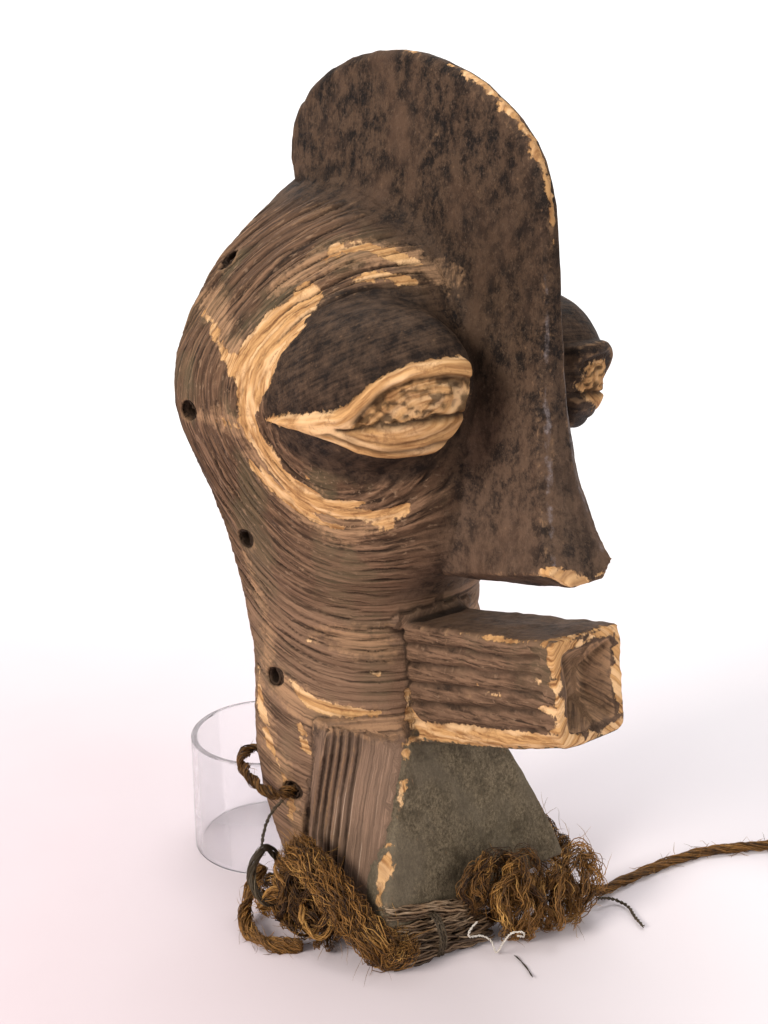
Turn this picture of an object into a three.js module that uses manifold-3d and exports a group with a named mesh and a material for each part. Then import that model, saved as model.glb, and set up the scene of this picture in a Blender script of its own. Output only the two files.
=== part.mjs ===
// A carved wooden face mask with a tall crest and a box mouth, raffia at its foot, leaning on a clear ring.
// Millimetres. The mask is worked out in its own frame, x across, `forward` out of the face and `height`
// along the face, and then leans back by LEAN and stands on the floor at z = 0, looking along -Y.
import * as THREE from "three";
import Module from "manifold-3d";

const wasm = await Module();
wasm.setup();

// Driving sizes of the mask.
const LEAN = THREE.MathUtils.degToRad(9.6);
const LIFT = 24; // from the floor up to the origin of the mask's own frame
const RIM = -55; // forward position of the flat back rim
const FULLNESS = 2.3; // 2 is an ellipse, more is boxier

// Stations of the head from the crown down: height, half width at the rim, forward reach of the face.
const HEAD = [
  [322, 3, -52],
  [318, 10, -38],
  [310, 21, -6],
  [298, 37, 19],
  [285, 52, 38],
  [265, 67, 54],
  [242, 79, 63],
  [222, 81, 66],
  [190, 71, 62],
  [165, 63, 57],
  [147, 60, 46],
  [134, 58, 25],
  [120, 57, 16],
  [104, 56, 16],
  [80, 59, 15],
  [60, 61, 15],
  [30, 59, 15],
  [0, 52, 14],
  [-30, 48, 14],
];

// Stations of the hollow behind the face, in the same three measures.
const HOLLOW = [
  [309, 5, -46],
  [300, 19, -12],
  [286, 38, 12],
  [266, 54, 32],
  [242, 67, 44],
  [222, 70, 48],
  [190, 62, 46],
  [165, 54, 42],
  [147, 51, 31],
  [134, 49, 11],
  [120, 48, 4],
  [104, 47, 3],
  [80, 50, 3],
  [30, 50, 2],
  [0, 43, 2],
  [-45, 37, 2],
];

// The crest's edge from the crown over the top and down the nose to its tip: forward, height.
const CREST_EDGE = [
  [-52, 319],
  [-56, 337],
  [-46, 354],
  [-13, 364.5],
  [27, 362],
  [59, 349.5],
  [84.5, 332],
  [102.5, 311.5],
  [109, 291],
  [109, 270],
  [107, 248],
  [104, 215],
  [103.5, 187],
  [107, 160],
  [112, 139],
];

// The line inside the head that each point of the crest's edge fans out from.
const CREST_ROOT = [
  [-48, 302],
  [-46, 302],
  [-40, 300],
  [-20, 294],
  [6, 281],
  [22, 269],
  [32, 258],
  [38, 248],
  [41, 239],
  [42, 230],
  [42, 220],
  [42, 203],
  [40, 183],
  [34, 162],
  [24, 141],
];

// Stations of the neck: height, half width of the flat front, its forward place, and the back edge of each
// side face, across and forward. The head's own wall stands a little proud behind that edge.
const NECK = [
  [78, 20, 13, 54, -2],
  [63, 24, 16.5, 56, -6],
  [42, 34.5, 20, 55, -17],
  [20, 44, 24, 53, -28],
  [0, 52, 26, 49, -37],
  [-28, 60, 29, 45, -42],
];
const FOOT_LINE = [[-80, -15.6], [70, -12], [70, -90], [-80, -90]];
const CHEEK_FOOT = [[-6, 77], [16, 63], [90, 63], [90, -70], [-72, -70]];
const FLUTES = { places: [0.58, 0.68, 0.78, 0.87, 0.95], half: 0.03, depth: 1.8 };

const STEPS = { levels: 20, columns: 20, hollowLevels: 12, hollowColumns: 14, fin: 34, arcDegrees: 9 };
const ARCS = {
  forward: 46,
  height: 226,
  squeeze: 0.8,
  radii: [51, 62, 74, 87, 101, 116],
  half: 1.9,
  depth: 1.7,
  besideFin: 10,
  mouthTop: 165,
  besideMouth: 33,
};
const FIN = {
  crestHalf: 4,
  noseHalf: 17.6,
  crestRoot: 8,
  noseTop: 275,
  noseFoot: 139,
  shoulder: 3.2,
  keel: 9,
};
const EYE = { across: 44, forward: 46, height: 226, long: 41.5, out: 28, tall: 32, turn: 0.41 };
const LIDS = { rise: 3.2, well: 2, slit: 5 };
const MOUTH = {
  half: 19,
  root: -6,
  tip: 109,
  rootFoot: 58,
  rootTop: 116.6,
  tipFoot: 77.5,
  tipTop: 122,
  bevel: 3,
};
const MOUTH_WELL = { lip: 4.5, depth: 10, floor: 0.35 };
const MOUTH_GROOVES = { places: [0.2, 0.36, 0.52, 0.68, 0.84], half: 1.8, depth: 1.8, end: 0.95 };
const HOLES = { bore: 8, spots: [[-45, 285], [-45, 221], [-42, 160], [-40, 94], [-33, 41]] };

// Loose pieces, placed on the floor that the mask stands on, before the whole is centred.
const ROOM = 0.4;
const RING = { x: -34.4, y: 97, outer: 38, wall: 3, height: 60 };
const COIL = { x: 173.6, y: -109.9, inner: 19.8, outer: 30.2, height: 5.2 };

// The loop through the lowest hole and round the rim, in the mask's own frame: across, forward, height.
const LACING = {
  radius: 2.4,
  sides: 8,
  steps: 26,
  closed: true,
  route: [
    [66, -33, 41],
    [69.5, -43, 45],
    [69, -54, 50],
    [65, -62, 53],
    [57, -65, 54],
    [48, -62, 52],
    [43, -52, 49],
    [41, -41, 43.5],
    [46.5, -34, 41],
    [57, -32.8, 40.8],
  ],
};

// Strands of fibre. Each gives way to the mask and to those before it.
const STRANDS = {
  raffia_cord: {
    radius: 2.5,
    sides: 10,
    steps: 16,
    route: [
      [40, -50.5, 14],
      [50, -50, 9],
      [61, -49.5, 4],
      [74.4, -48.4, 2.6],
      [101.6, -50.3, 2.6],
      [127, -55.2, 2.6],
      [144, -63, 2.6],
      [160, -71.5, 2.6],
      [170.5, -77.1, 2.6],
    ],
  },
  front_rope: {
    radius: 7,
    sides: 9,
    steps: 12,
    route: [
      [-68, 24, 38],
      [-66.5, 10, 36],
      [-66, -4, 31],
      [-63.5, -16, 23],
      [-59, -25, 14],
      [-51, -31.5, 8],
    ],
  },
  front_hank: { radius: 6.4, sides: 9, steps: 4, route: [[-43, -32, 7], [-30, -34, 7], [-16, -36.5, 7]] },
  floor_loop: {
    radius: 3,
    sides: 8,
    steps: 14,
    route: [[-71, 44, 22], [-80, 42, 12], [-87, 35, 5], [-90, 24, 3.2], [-86, 12, 3.2], [-77, 3, 3.2]],
  },
  ring_loop: {
    radius: 1.8,
    sides: 7,
    steps: 18,
    closed: true,
    route: [
      [-76.7, 35.6, 36],
      [-83.8, 34.1, 28],
      [-84.7, 27.1, 20],
      [-78.4, 22.9, 16],
      [-69.5, 27.4, 16],
      [-66.5, 35, 24],
      [-70, 38.4, 32],
    ],
  },
  hanging_twine: {
    radius: 0.9,
    sides: 6,
    steps: 10,
    route: [[-63, 38, 56], [-67, 39.5, 52], [-71, 39.5, 47], [-74.5, 38, 41], [-76, 36.5, 37.5]],
  },
  trailing_twine: {
    radius: 0.9,
    sides: 6,
    steps: 8,
    route: [
      [51, -54.5, 6],
      [57, -55, 4],
      [62, -57.5, 2.2],
      [63, -64, 1.6],
      [59.5, -71, 1.6],
      [56.5, -79, 1.6],
    ],
  },
  white_thread: {
    radius: 0.7,
    sides: 6,
    steps: 14,
    route: [
      [-13, -37.5, 9],
      [-14.5, -37.5, 5.5],
      [-9.5, -40.5, 3],
      [-4.5, -44.5, 5],
      [-5.6, -49, 1.6],
      [-4, -51.5, 1.6],
      [0, -50, 4.8],
      [3.5, -52, 6.3],
      [3.8, -56, 6.5],
    ],
  },
};

const TUFTS = {
  left_tuft: { middle: [-70, 14, 20], size: [14, 23, 20], swell: 0.5 },
  right_tuft: { middle: [15.5, -47, 19], size: [31, 14, 19], swell: 1.7 },
  far_tuft: { middle: [63, -4, 11], size: [12, 24, 12], swell: 3.1 },
};

// The lids drawn on the eye, in lengths along it towards the nose and up from its middle.
const LID_OUTLINE = [
  [-26, -11],
  [-12, -8],
  [0, -4.5],
  [11, 2],
  [21, 8.5],
  [31, 11.5],
  [41, 9.5],
  [47, 3],
  [49, -6],
  [46, -15],
  [38, -21],
  [26, -25],
  [12, -23],
  [0, -18],
  [-12, -14],
];
const LID_WELL = [[5, -11], [17, -5], [30, 1.5], [41, 2.5], [47, -3], [45, -8.5], [26, -10.5]];
const LID_SLIT = [[2, -12], [26, -11], [50, -8.2], [50, -9.8], [26, -13], [2, -13]];

const at = (across, forward, height) => new THREE.Vector3(across, -forward, height);

// A closed triangle mesh as a solid, with its faces turned to point out.
function solid(geometry) {
  const flat = geometry.index ? geometry.toNonIndexed() : geometry;
  const position = flat.getAttribute("position");
  const seen = new Map();
  const vertices = [];
  const corners = [];
  for (let i = 0; i < position.count; i++) {
    const point = [position.getX(i), position.getY(i), position.getZ(i)];
    const key = point.map((value) => Math.round(value * 1e4)).join();
    if (!seen.has(key)) {
      seen.set(key, seen.size);
      vertices.push(...point);
    }
    corners.push(seen.get(key));
  }
  const faces = [];
  for (let i = 0; i < corners.length; i += 3) {
    const [a, b, c] = corners.slice(i, i + 3);
    if (a !== b && b !== c && a !== c) faces.push(a, b, c);
  }
  const made = (triVerts) =>
    new wasm.Manifold(new wasm.Mesh({ numProp: 3, vertProperties: new Float32Array(vertices), triVerts }));
  const first = made(new Uint32Array(faces));
  return first.volume() > 0 ? first : made(new Uint32Array(faces).reverse());
}

function geometryOf(shape) {
  const mesh = shape.getMesh();
  const points = new Float32Array(mesh.numVert * 3);
  for (let i = 0; i < mesh.numVert; i++) {
    points.set(mesh.vertProperties.subarray(i * mesh.numProp, i * mesh.numProp + 3), i * 3);
  }
  const geometry = new THREE.BufferGeometry();
  geometry.setAttribute("position", new THREE.BufferAttribute(points, 3));
  geometry.setIndex(new THREE.BufferAttribute(mesh.triVerts, 1));
  return geometry;
}

// A closed skin over rings of equally many points; each end is fanned to its middle or to a given point.
function loft(rings, lastMiddle) {
  const size = rings[0].length;
  const middle = (ring) => ring.reduce((sum, p) => sum.add(p), new THREE.Vector3()).divideScalar(size);
  const points = [...rings.flat(), middle(rings[0]), lastMiddle ?? middle(rings.at(-1))];
  const faces = [];
  for (let i = 0; i < size; i++) {
    const next = (i + 1) % size;
    for (let r = 0; r + 1 < rings.length; r++) {
      const [a, b] = [r * size + i, r * size + next];
      faces.push(a, b, b + size, a, b + size, a + size);
    }
    const last = (rings.length - 1) * size;
    faces.push(next, i, points.length - 2, last + i, last + next, points.length - 1);
  }
  const geometry = new THREE.BufferGeometry().setFromPoints(points);
  geometry.setIndex(faces);
  return solid(geometry);
}

// Evenly spaced rows along the smooth curve through a table's first three columns.
function smooth(rows, steps) {
  const curve = new THREE.CatmullRomCurve3(rows.map((row) => new THREE.Vector3(...row)));
  return curve.getSpacedPoints(steps).map((p) => p.toArray());
}


const joined = (shapes) => shapes.reduce((all, shape) => all.add(shape));

// One level of the head or the hollow, round the face from rim to rim and straight across the back.
function level(height, half, reach, columns, back) {
  const ring = [];
  for (let i = 0; i <= columns; i++) {
    const angle = (i / columns) * Math.PI;
    const across = -Math.sign(Math.cos(angle)) * Math.abs(Math.cos(angle)) ** (2 / FULLNESS);
    const out = Math.sin(angle) ** (2 / FULLNESS);
    ring.push(at(half * across, RIM + (reach - RIM) * out, height));
  }
  ring[0] = at(-half, back, height);
  ring[columns] = at(half, back, height);
  return ring;
}

const headRows = smooth(HEAD, STEPS.levels);

function head() {
  return loft(headRows.map((row) => level(...row, STEPS.columns, RIM)));
}

function hollow() {
  const rows = smooth(HOLLOW, STEPS.hollowLevels);
  return loft(rows.map((row) => level(...row, STEPS.hollowColumns, RIM - 15)));
}

// A shape in the forward and height plane, drawn out across the whole face.
function acrossFace(shape) {
  const reach = 110;
  const options = { depth: 2 * reach, bevelEnabled: false, curveSegments: 12 };
  const turn = new THREE.Matrix4().set(0, 0, 1, -reach, -1, 0, 0, 0, 0, 1, 0, 0, 0, 0, 0, 1);
  return solid(new THREE.ExtrudeGeometry(shape, options).applyMatrix4(turn));
}

const polygon = (points) => new THREE.Shape(points.map(([x, y]) => new THREE.Vector2(x, y)));

// Half width and forward reach of the head at a height.
function headAt(height) {
  const i = Math.max(1, headRows.findIndex((row) => row[0] <= height));
  const [above, below] = [headRows[i - 1], headRows[i]];
  const part = (above[0] - height) / (above[0] - below[0]);
  return [1, 2].map((column) => THREE.MathUtils.lerp(above[column], below[column], part));
}

// The point of the head's side that lies at this forward place and height, and the way it faces.
function onHead(side, forward, height) {
  const [half, reach] = headAt(height);
  const out = THREE.MathUtils.clamp((forward - RIM) / (reach - RIM), 0, 1);
  const across = half * (1 - out ** FULLNESS) ** (1 / FULLNESS);
  const slope = (x, f, h) => {
    const [w, r] = headAt(h);
    return (Math.abs(x) / w) ** FULLNESS + (Math.max(f - RIM, 0) / (r - RIM)) ** FULLNESS;
  };
  const here = slope(across, forward, height);
  const normal = at(
    side * (slope(across + 0.5, forward, height) - here),
    slope(across, forward + 0.5, height) - here,
    slope(across, forward, height + 0.5) - here,
  );
  return { point: at(side * across, forward, height), normal: normal.normalize(), across, out };
}

// Grooves in widening rings round an eye, cut into the head where it shows beside the crest and nose.
function arcs(side) {
  const cuts = [];
  for (const radius of ARCS.radii) {
    let run = [];
    const finish = () => {
      if (run.length > 3) cuts.push(groove(run, ARCS.half, ARCS.depth));
      run = [];
    };
    for (let turn = 0; turn <= 360; turn += STEPS.arcDegrees) {
      const angle = THREE.MathUtils.degToRad(turn);
      const forward = ARCS.forward + radius * ARCS.squeeze * Math.cos(angle);
      const height = ARCS.height + radius * Math.sin(angle);
      const spot = height > 62 && height < 309 ? onHead(side, forward, height) : null;
      const nearest = height < ARCS.mouthTop ? ARCS.besideMouth : ARCS.besideFin;
      if (spot && spot.out < 0.995 && spot.across > nearest && forward > RIM - 6) run.push(spot);
      else finish();
    }
    finish();
  }
  return joined(cuts);
}

// The crest and the nose are one fin with flat sides, whose narrow edge widens into the nose's front.
function fin() {
  const edge = new THREE.CatmullRomCurve3(CREST_EDGE.map(([forward, height]) => at(0, forward, height)));
  const root = new THREE.CatmullRomCurve3(CREST_ROOT.map(([forward, height]) => at(0, forward, height)));
  const moved = (p, across, up = 0) => new THREE.Vector3(across, p.y, p.z + up);
  const rings = [];
  for (let i = 0; i <= STEPS.fin; i++) {
    const tip = edge.getPoint(i / STEPS.fin);
    const base = root.getPoint(i / STEPS.fin);
    const down = THREE.MathUtils.clamp((FIN.noseTop - tip.z) / (FIN.noseTop - FIN.noseFoot), 0, 1);
    const half = THREE.MathUtils.lerp(FIN.crestHalf, FIN.noseHalf, down ** 1.7);
    const rootHalf = THREE.MathUtils.lerp(FIN.crestRoot, FIN.noseHalf - 2, down);
    const shoulder = tip.clone().lerp(base, FIN.shoulder / tip.distanceTo(base));
    const lift = FIN.keel * down ** 6;
    rings.push([
      moved(base, -rootHalf),
      moved(shoulder, -half, lift),
      moved(tip, -half * 0.5, lift / 3),
      moved(tip, half * 0.5, lift / 3),
      moved(shoulder, half, lift),
      moved(base, rootHalf),
    ]);
  }
  return loft(rings, at(0, 85, FIN.noseFoot - 1));
}

// An egg drawn out towards the nose; `grow` is added to each half length.
function egg(side, grow) {
  const geometry = new THREE.SphereGeometry(1, 20, 12);
  geometry.scale(EYE.out + grow, EYE.long + grow, EYE.tall + grow);
  geometry.rotateZ(-side * EYE.turn);
  geometry.translate(side * EYE.across, -EYE.forward, EYE.height);
  return solid(geometry);
}

// A prism that stands out from the middle of the eye over an outline drawn on it.
function overEye(side, shape) {
  const geometry = new THREE.ExtrudeGeometry(shape, { depth: 60, bevelEnabled: false, curveSegments: 24 });
  const along = new THREE.Vector3(-side * Math.sin(EYE.turn), -Math.cos(EYE.turn), 0);
  const out = new THREE.Vector3(side * Math.cos(EYE.turn), -Math.sin(EYE.turn), 0);
  const basis = new THREE.Matrix4().makeBasis(along, new THREE.Vector3(0, 0, 1), out);
  basis.setPosition(side * EYE.across, -EYE.forward, EYE.height);
  return solid(geometry.applyMatrix4(basis));
}

function eye(side) {
  const lids = egg(side, LIDS.rise).intersect(overEye(side, polygon(LID_OUTLINE)));
  const well = overEye(side, polygon(LID_WELL)).subtract(egg(side, LIDS.rise - LIDS.well));
  const slit = overEye(side, polygon(LID_SLIT)).subtract(egg(side, LIDS.rise - LIDS.slit));
  return egg(side, 0).add(lids).subtract(well).subtract(slit);
}

// A three-sided cutter along spots on a face, as wide as two halves there and as deep as `depth` below it.
function groove(spots, half, depth) {
  const rings = spots.map(({ point, normal }, i) => {
    const next = spots[Math.min(i + 1, spots.length - 1)].point;
    const before = spots[Math.max(i - 1, 0)].point;
    const side = next.clone().sub(before).cross(normal).setLength(half * 2);
    const above = point.clone().addScaledVector(normal, depth);
    return [above.clone().add(side), above.clone().sub(side), point.clone().addScaledVector(normal, -depth)];
  });
  return loft(rings);
}

// The mouth stands out as a box on the face, with a hollow square end and grooves along its sides.
function mouth() {
  const ring = (along, depth) => {
    const { half, bevel } = MOUTH;
    const forward = THREE.MathUtils.lerp(MOUTH.root, MOUTH.tip, along);
    const foot = THREE.MathUtils.lerp(MOUTH.rootFoot, MOUTH.tipFoot, along);
    const top = THREE.MathUtils.lerp(MOUTH.rootTop, MOUTH.tipTop, along);
    const right = [[half - bevel, foot], [half, foot + bevel]];
    for (const place of MOUTH_GROOVES.places) {
      const middle = THREE.MathUtils.lerp(foot, top, place);
      const width = MOUTH_GROOVES.half;
      right.push([half, middle - width], [half - depth, middle], [half, middle + width]);
    }
    right.push([half, top - bevel / 2], [half - bevel / 2, top]);
    const left = right.map(([x, z]) => [-x, z]).reverse();
    return [...right, ...left].map(([x, z]) => at(x, forward, z));
  };
  const { depth, end } = MOUTH_GROOVES;
  const box = loft([ring(0, depth), ring(end - 0.1, depth), ring(end, 0), ring(1, 0)]);
  const middle = (MOUTH.tipTop + MOUTH.tipFoot) / 2;
  const square = (forward, scale) => {
    const wide = (MOUTH.half - MOUTH_WELL.lip) * scale;
    const tall = ((MOUTH.tipTop - MOUTH.tipFoot) / 2 - MOUTH_WELL.lip) * scale;
    const signs = [[-1, -1], [1, -1], [1, 1], [-1, 1]];
    return signs.map(([x, z]) => at(wide * x, forward, middle + tall * z));
  };
  const well = loft([square(MOUTH.tip - MOUTH_WELL.depth, MOUTH_WELL.floor), square(MOUTH.tip + 1, 1.06)]);
  return box.subtract(well);
}

// The neck's stations with evenly spaced ones between them.
function neckRows() {
  const between = 2;
  const rows = [NECK[0]];
  for (let i = 1; i < NECK.length; i++) {
    for (let k = 1; k <= between; k++) {
      const blend = (value, column) => THREE.MathUtils.lerp(NECK[i - 1][column], value, k / between);
      rows.push(NECK[i].map(blend));
    }
  }
  return rows;
}

// The flared neck: a flat front with a corner at each side, and fluted sides that run back to the rim.
function neck() {
  const rings = neckRows().map(([height, corner, front, back, backForward]) => {
    const edge = new THREE.Vector2(corner, front);
    const behind = new THREE.Vector2(back, backForward);
    const inward = new THREE.Vector2(backForward - front, corner - back).setLength(FLUTES.depth);
    const across = (share) => edge.clone().lerp(behind, share);
    const right = [edge, across(0.28)];
    for (const place of FLUTES.places) {
      right.push(across(place - FLUTES.half), across(place).add(inward), across(place + FLUTES.half));
    }
    right.push(behind, new THREE.Vector2(back - 3, RIM));
    const left = right.map((p) => new THREE.Vector2(-p.x, p.y)).reverse();
    return [...right, ...left].map((p) => at(p.x, p.y, height));
  });
  return loft(rings);
}

function lacingHoles() {
  return joined(
    HOLES.spots.map(([forward, height]) => {
      const round = new THREE.Shape().absarc(forward, height, HOLES.bore / 2, 0, 2 * Math.PI);
      return acrossFace(new THREE.Shape(round.getPoints(3)));
    }),
  );
}

function mask() {
  const grooved = head().subtract(joined([arcs(-1), arcs(1)]));
  const face = grooved.subtract(acrossFace(polygon(CHEEK_FOOT)));
  const carved = joined([face, neck(), mouth(), fin(), eye(-1), eye(1)]);
  return carved.subtract(joined([hollow(), lacingHoles()])).subtract(acrossFace(polygon(FOOT_LINE)));
}

// The foot of the mask with room round it, which the loose pieces are kept clear of.
function maskWithRoom() {
  const grown = (value) => value + Math.sign(value) * ROOM * 2;
  const rings = neckRows().map(([height, corner, front, back, backForward]) => {
    const widest = Math.max(corner, back, headAt(height)[0]);
    const right = [[corner, front], [widest, backForward + 6], [widest, RIM]];
    const left = right.map(([x, f]) => [-x, f]).reverse();
    return [...right, ...left].map(([x, f]) => at(grown(x), grown(f), height));
  });
  const foot = FOOT_LINE.map(([forward, height]) => [forward, height - ROOM]);
  return loft(rings).subtract(acrossFace(polygon(foot)));
}

const standing = new THREE.Matrix4().makeRotationX(-LEAN).setPosition(0, 0, LIFT);
const stood = (shape) => solid(geometryOf(shape).applyMatrix4(standing));

// A round strand along its route, `grow` thicker all round and longer at each open end.
function strand({ route, radius, sides, steps, closed = false }, grow) {
  const spots = route.map((row) => new THREE.Vector3(...row));
  if (closed) {
    const loop = new THREE.CatmullRomCurve3(spots, true);
    return solid(new THREE.TubeGeometry(loop, steps, radius + grow, sides, true));
  }
  const beyond = (end, next) => end.clone().add(end.clone().sub(next).setLength(grow));
  spots.splice(0, 1, beyond(spots[0], spots[1]));
  spots.splice(-1, 1, beyond(spots.at(-1), spots.at(-2)));
  const corners = Array.from({ length: sides }, (_, i) => {
    const angle = (2 * Math.PI * i) / sides;
    return [(radius + grow) * Math.cos(angle), (radius + grow) * Math.sin(angle)];
  });
  const section = polygon(corners);
  return solid(new THREE.ExtrudeGeometry(section, { steps, extrudePath: new THREE.CatmullRomCurve3(spots) }));
}

// A loop through the lowest hole on one side of the mask.
function lacing(side, grow) {
  const route = LACING.route.map(([across, forward, height]) => {
    return at(side * across, forward, height).applyMatrix4(standing).toArray();
  });
  return strand({ ...LACING, route }, grow);
}

// A rounded bunch of fibre with soft swellings.
function bunch({ middle, size, swell }, grow) {
  const geometry = new THREE.SphereGeometry(1, 14, 10);
  const position = geometry.getAttribute("position");
  for (let i = 0; i < position.count; i++) {
    const p = new THREE.Vector3().fromBufferAttribute(position, i);
    const waves = Math.sin(3 * p.x + swell) + Math.sin(4 * p.y + 2 * swell) + Math.sin(5 * p.z);
    const reach = 1 + 0.07 * waves;
    position.setXYZ(i, ...size.map((half, k) => middle[k] + p.getComponent(k) * (half * reach + grow)));
  }
  return solid(geometry);
}

// A square-edged round band standing on the floor.
function band({ x, y, inner, outer, height }, sides) {
  const profile = [[inner, 0], [outer, 0], [outer, height], [inner, height], [inner, 0]];
  const geometry = new THREE.LatheGeometry(profile.map(([r, z]) => new THREE.Vector2(r, z)), sides);
  return solid(geometry.rotateX(Math.PI / 2).translate(x, y, 0));
}

function ring(grow) {
  const { outer, wall, height } = RING;
  return band({ ...RING, inner: outer - wall - grow, outer: outer + grow, height: height + grow }, 48);
}

const part = new THREE.Group();

function add(name, shape) {
  const mesh = new THREE.Mesh(geometryOf(shape));
  mesh.name = name;
  part.add(mesh);
}

const floor = solid(new THREE.BoxGeometry(900, 900, 200).translate(0, 0, -100));
let taken = joined([stood(maskWithRoom()), floor]);

add("mask", stood(mask()).subtract(floor));
const clear = {
  support_ring: ring,
  lacing_loop_left: (grow) => lacing(-1, grow),
  lacing_loop_right: (grow) => lacing(1, grow),
};
for (const [name, make] of Object.entries(clear)) {
  add(name, make(0));
  taken = taken.add(make(ROOM));
}

function press(name, make) {
  add(name, make(0).subtract(taken));
  taken = taken.add(make(ROOM));
}

for (const [name, sizes] of Object.entries(STRANDS)) press(name, (grow) => strand(sizes, grow));
for (const [name, sizes] of Object.entries(TUFTS)) press(name, (grow) => bunch(sizes, grow));
add("raffia_coil", band(COIL, 32));

// The origin is below the middle of everything but the cord.
const box = new THREE.Box3();
for (const mesh of part.children) {
  if (!mesh.name.startsWith("raffia_")) box.expandByObject(mesh);
}
const middle = box.getCenter(new THREE.Vector3());
for (const mesh of part.children) mesh.geometry.translate(-middle.x, -middle.y, 0);

export default part;
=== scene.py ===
"""A carved wooden face mask with raffia at its foot, leaning on a clear ring, on a pale studio floor.

Shapes are worked out in millimetres and become metres when a mesh is made. The mask has its own frame:
x across, forward out of the face and height along it, before it leans back and stands on the floor.
"""
import itertools
import math

import bmesh
import bpy
import numpy as np
from mathutils import Matrix, Vector
from mathutils.bvhtree import BVHTree


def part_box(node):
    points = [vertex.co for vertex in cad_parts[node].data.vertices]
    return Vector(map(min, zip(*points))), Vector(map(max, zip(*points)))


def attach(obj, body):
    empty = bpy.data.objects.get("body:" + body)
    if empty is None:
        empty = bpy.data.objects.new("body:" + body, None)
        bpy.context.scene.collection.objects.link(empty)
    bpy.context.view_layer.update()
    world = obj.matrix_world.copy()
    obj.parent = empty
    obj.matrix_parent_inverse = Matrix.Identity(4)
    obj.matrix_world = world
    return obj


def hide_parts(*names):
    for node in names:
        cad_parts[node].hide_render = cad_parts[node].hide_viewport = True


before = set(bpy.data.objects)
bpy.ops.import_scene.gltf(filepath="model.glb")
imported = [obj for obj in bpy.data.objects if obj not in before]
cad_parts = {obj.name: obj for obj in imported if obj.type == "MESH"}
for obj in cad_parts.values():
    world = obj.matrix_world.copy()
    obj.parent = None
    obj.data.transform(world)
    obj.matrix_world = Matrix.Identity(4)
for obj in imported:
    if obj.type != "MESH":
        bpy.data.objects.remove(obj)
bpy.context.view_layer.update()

MM = 0.001
LEAN = math.radians(9.6)
LIFT = 24
RIM = -55
FULLNESS = 2.3
VIEW_TURN = math.radians(-37.8)
FAR = 9.0
MOST_TRIANGLES = 190000
RING = {"x": -34.4, "y": 97, "outer": 38, "wall": 3, "height": 60}
COIL = {"x": 173.6, "y": -109.9, "first": 27.5, "last": 22.5, "turns": 1.75, "height": 2.6}
COIL_START = (186.5, -85.6)
EYE = {"across": 44, "forward": 46, "height": 226, "out": 28, "long": 41.5, "tall": 32, "turn": 0.41}
MOUTH = {"half": 19, "root": -6, "tip": 109, "root_foot": 58, "root_top": 116.6, "foot": 77.5, "top": 122}
MOUTH_MIDDLE = (MOUTH["foot"] + MOUTH["top"]) / 2
BOX_TOP = 128
MOUTH_GROOVES = (0.2, 0.36, 0.52, 0.68, 0.84)
FLUTES = (0.58, 0.68, 0.78, 0.87, 0.95)
CHEEK_FOOT = np.array([(-72, -70), (-6, 77), (16, 63)])
LID_RISE = 3.2

# The carved lines turn round the eye's corner: their middle's forward and height, and two arcs' with radii.
LINES_MIDDLE = (30, 211)
UPPER_ARC = (49.5, 213, 55.5)
LOWER_ARC = (28, 208, 34.2)

# Stations of the head from the foot up: height, half width at the rim, forward reach of the face.
HEAD = np.array([
    [-30, 48, 14], [0, 52, 14], [30, 59, 15], [60, 61, 15], [80, 59, 15], [104, 56, 16], [120, 57, 16],
    [134, 58, 25], [147, 60, 46], [165, 63, 57], [190, 71, 62], [222, 81, 66], [242, 79, 63], [265, 67, 54],
    [285, 52, 38], [298, 37, 19], [310, 21, -6], [318, 10, -38], [322, 3, -52],
], float)

# Stations of the neck from the foot up: height, half width of the front, its forward place, and the back
# edge of each side, across and forward.
NECK = np.array([
    [-28, 60, 29, 45, -42], [0, 52, 26, 49, -37], [20, 44, 24, 53, -28], [42, 34.5, 20, 55, -17],
    [63, 24, 16.5, 56, -6], [78, 20, 13, 54, -2],
], float)

# Outlines on the eye, in lengths along it towards the nose and up from its middle.
LID_OUTLINE = np.array([
    (-47, -10.6), (-36, -8.6), (-24, -8.2), (-12, -8), (0, -6.6), (9, -1.6), (17, 3.2), (26, 6.8),
    (36, 8.2), (44, 6), (48, 0), (48, -8), (45, -16), (37, -23), (27, -27), (15, -28), (3, -25), (-8, -20),
    (-20, -15.6), (-34, -13.4),
], float)
LID_WELL = np.array([
    (5, -13.4), (13, -6), (21, -1.2), (31, 1.4), (40, 0.2), (44, -7), (40, -12.6), (24, -13.4),
], float)
LID_SLIT = np.array([(-3, -14.3), (8, -14.6), (26, -14.1), (45, -13)], float)
HOLES = [(-45, 285), (-45, 221), (-42, 160), (-40, 94), (-33, 41)]

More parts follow.
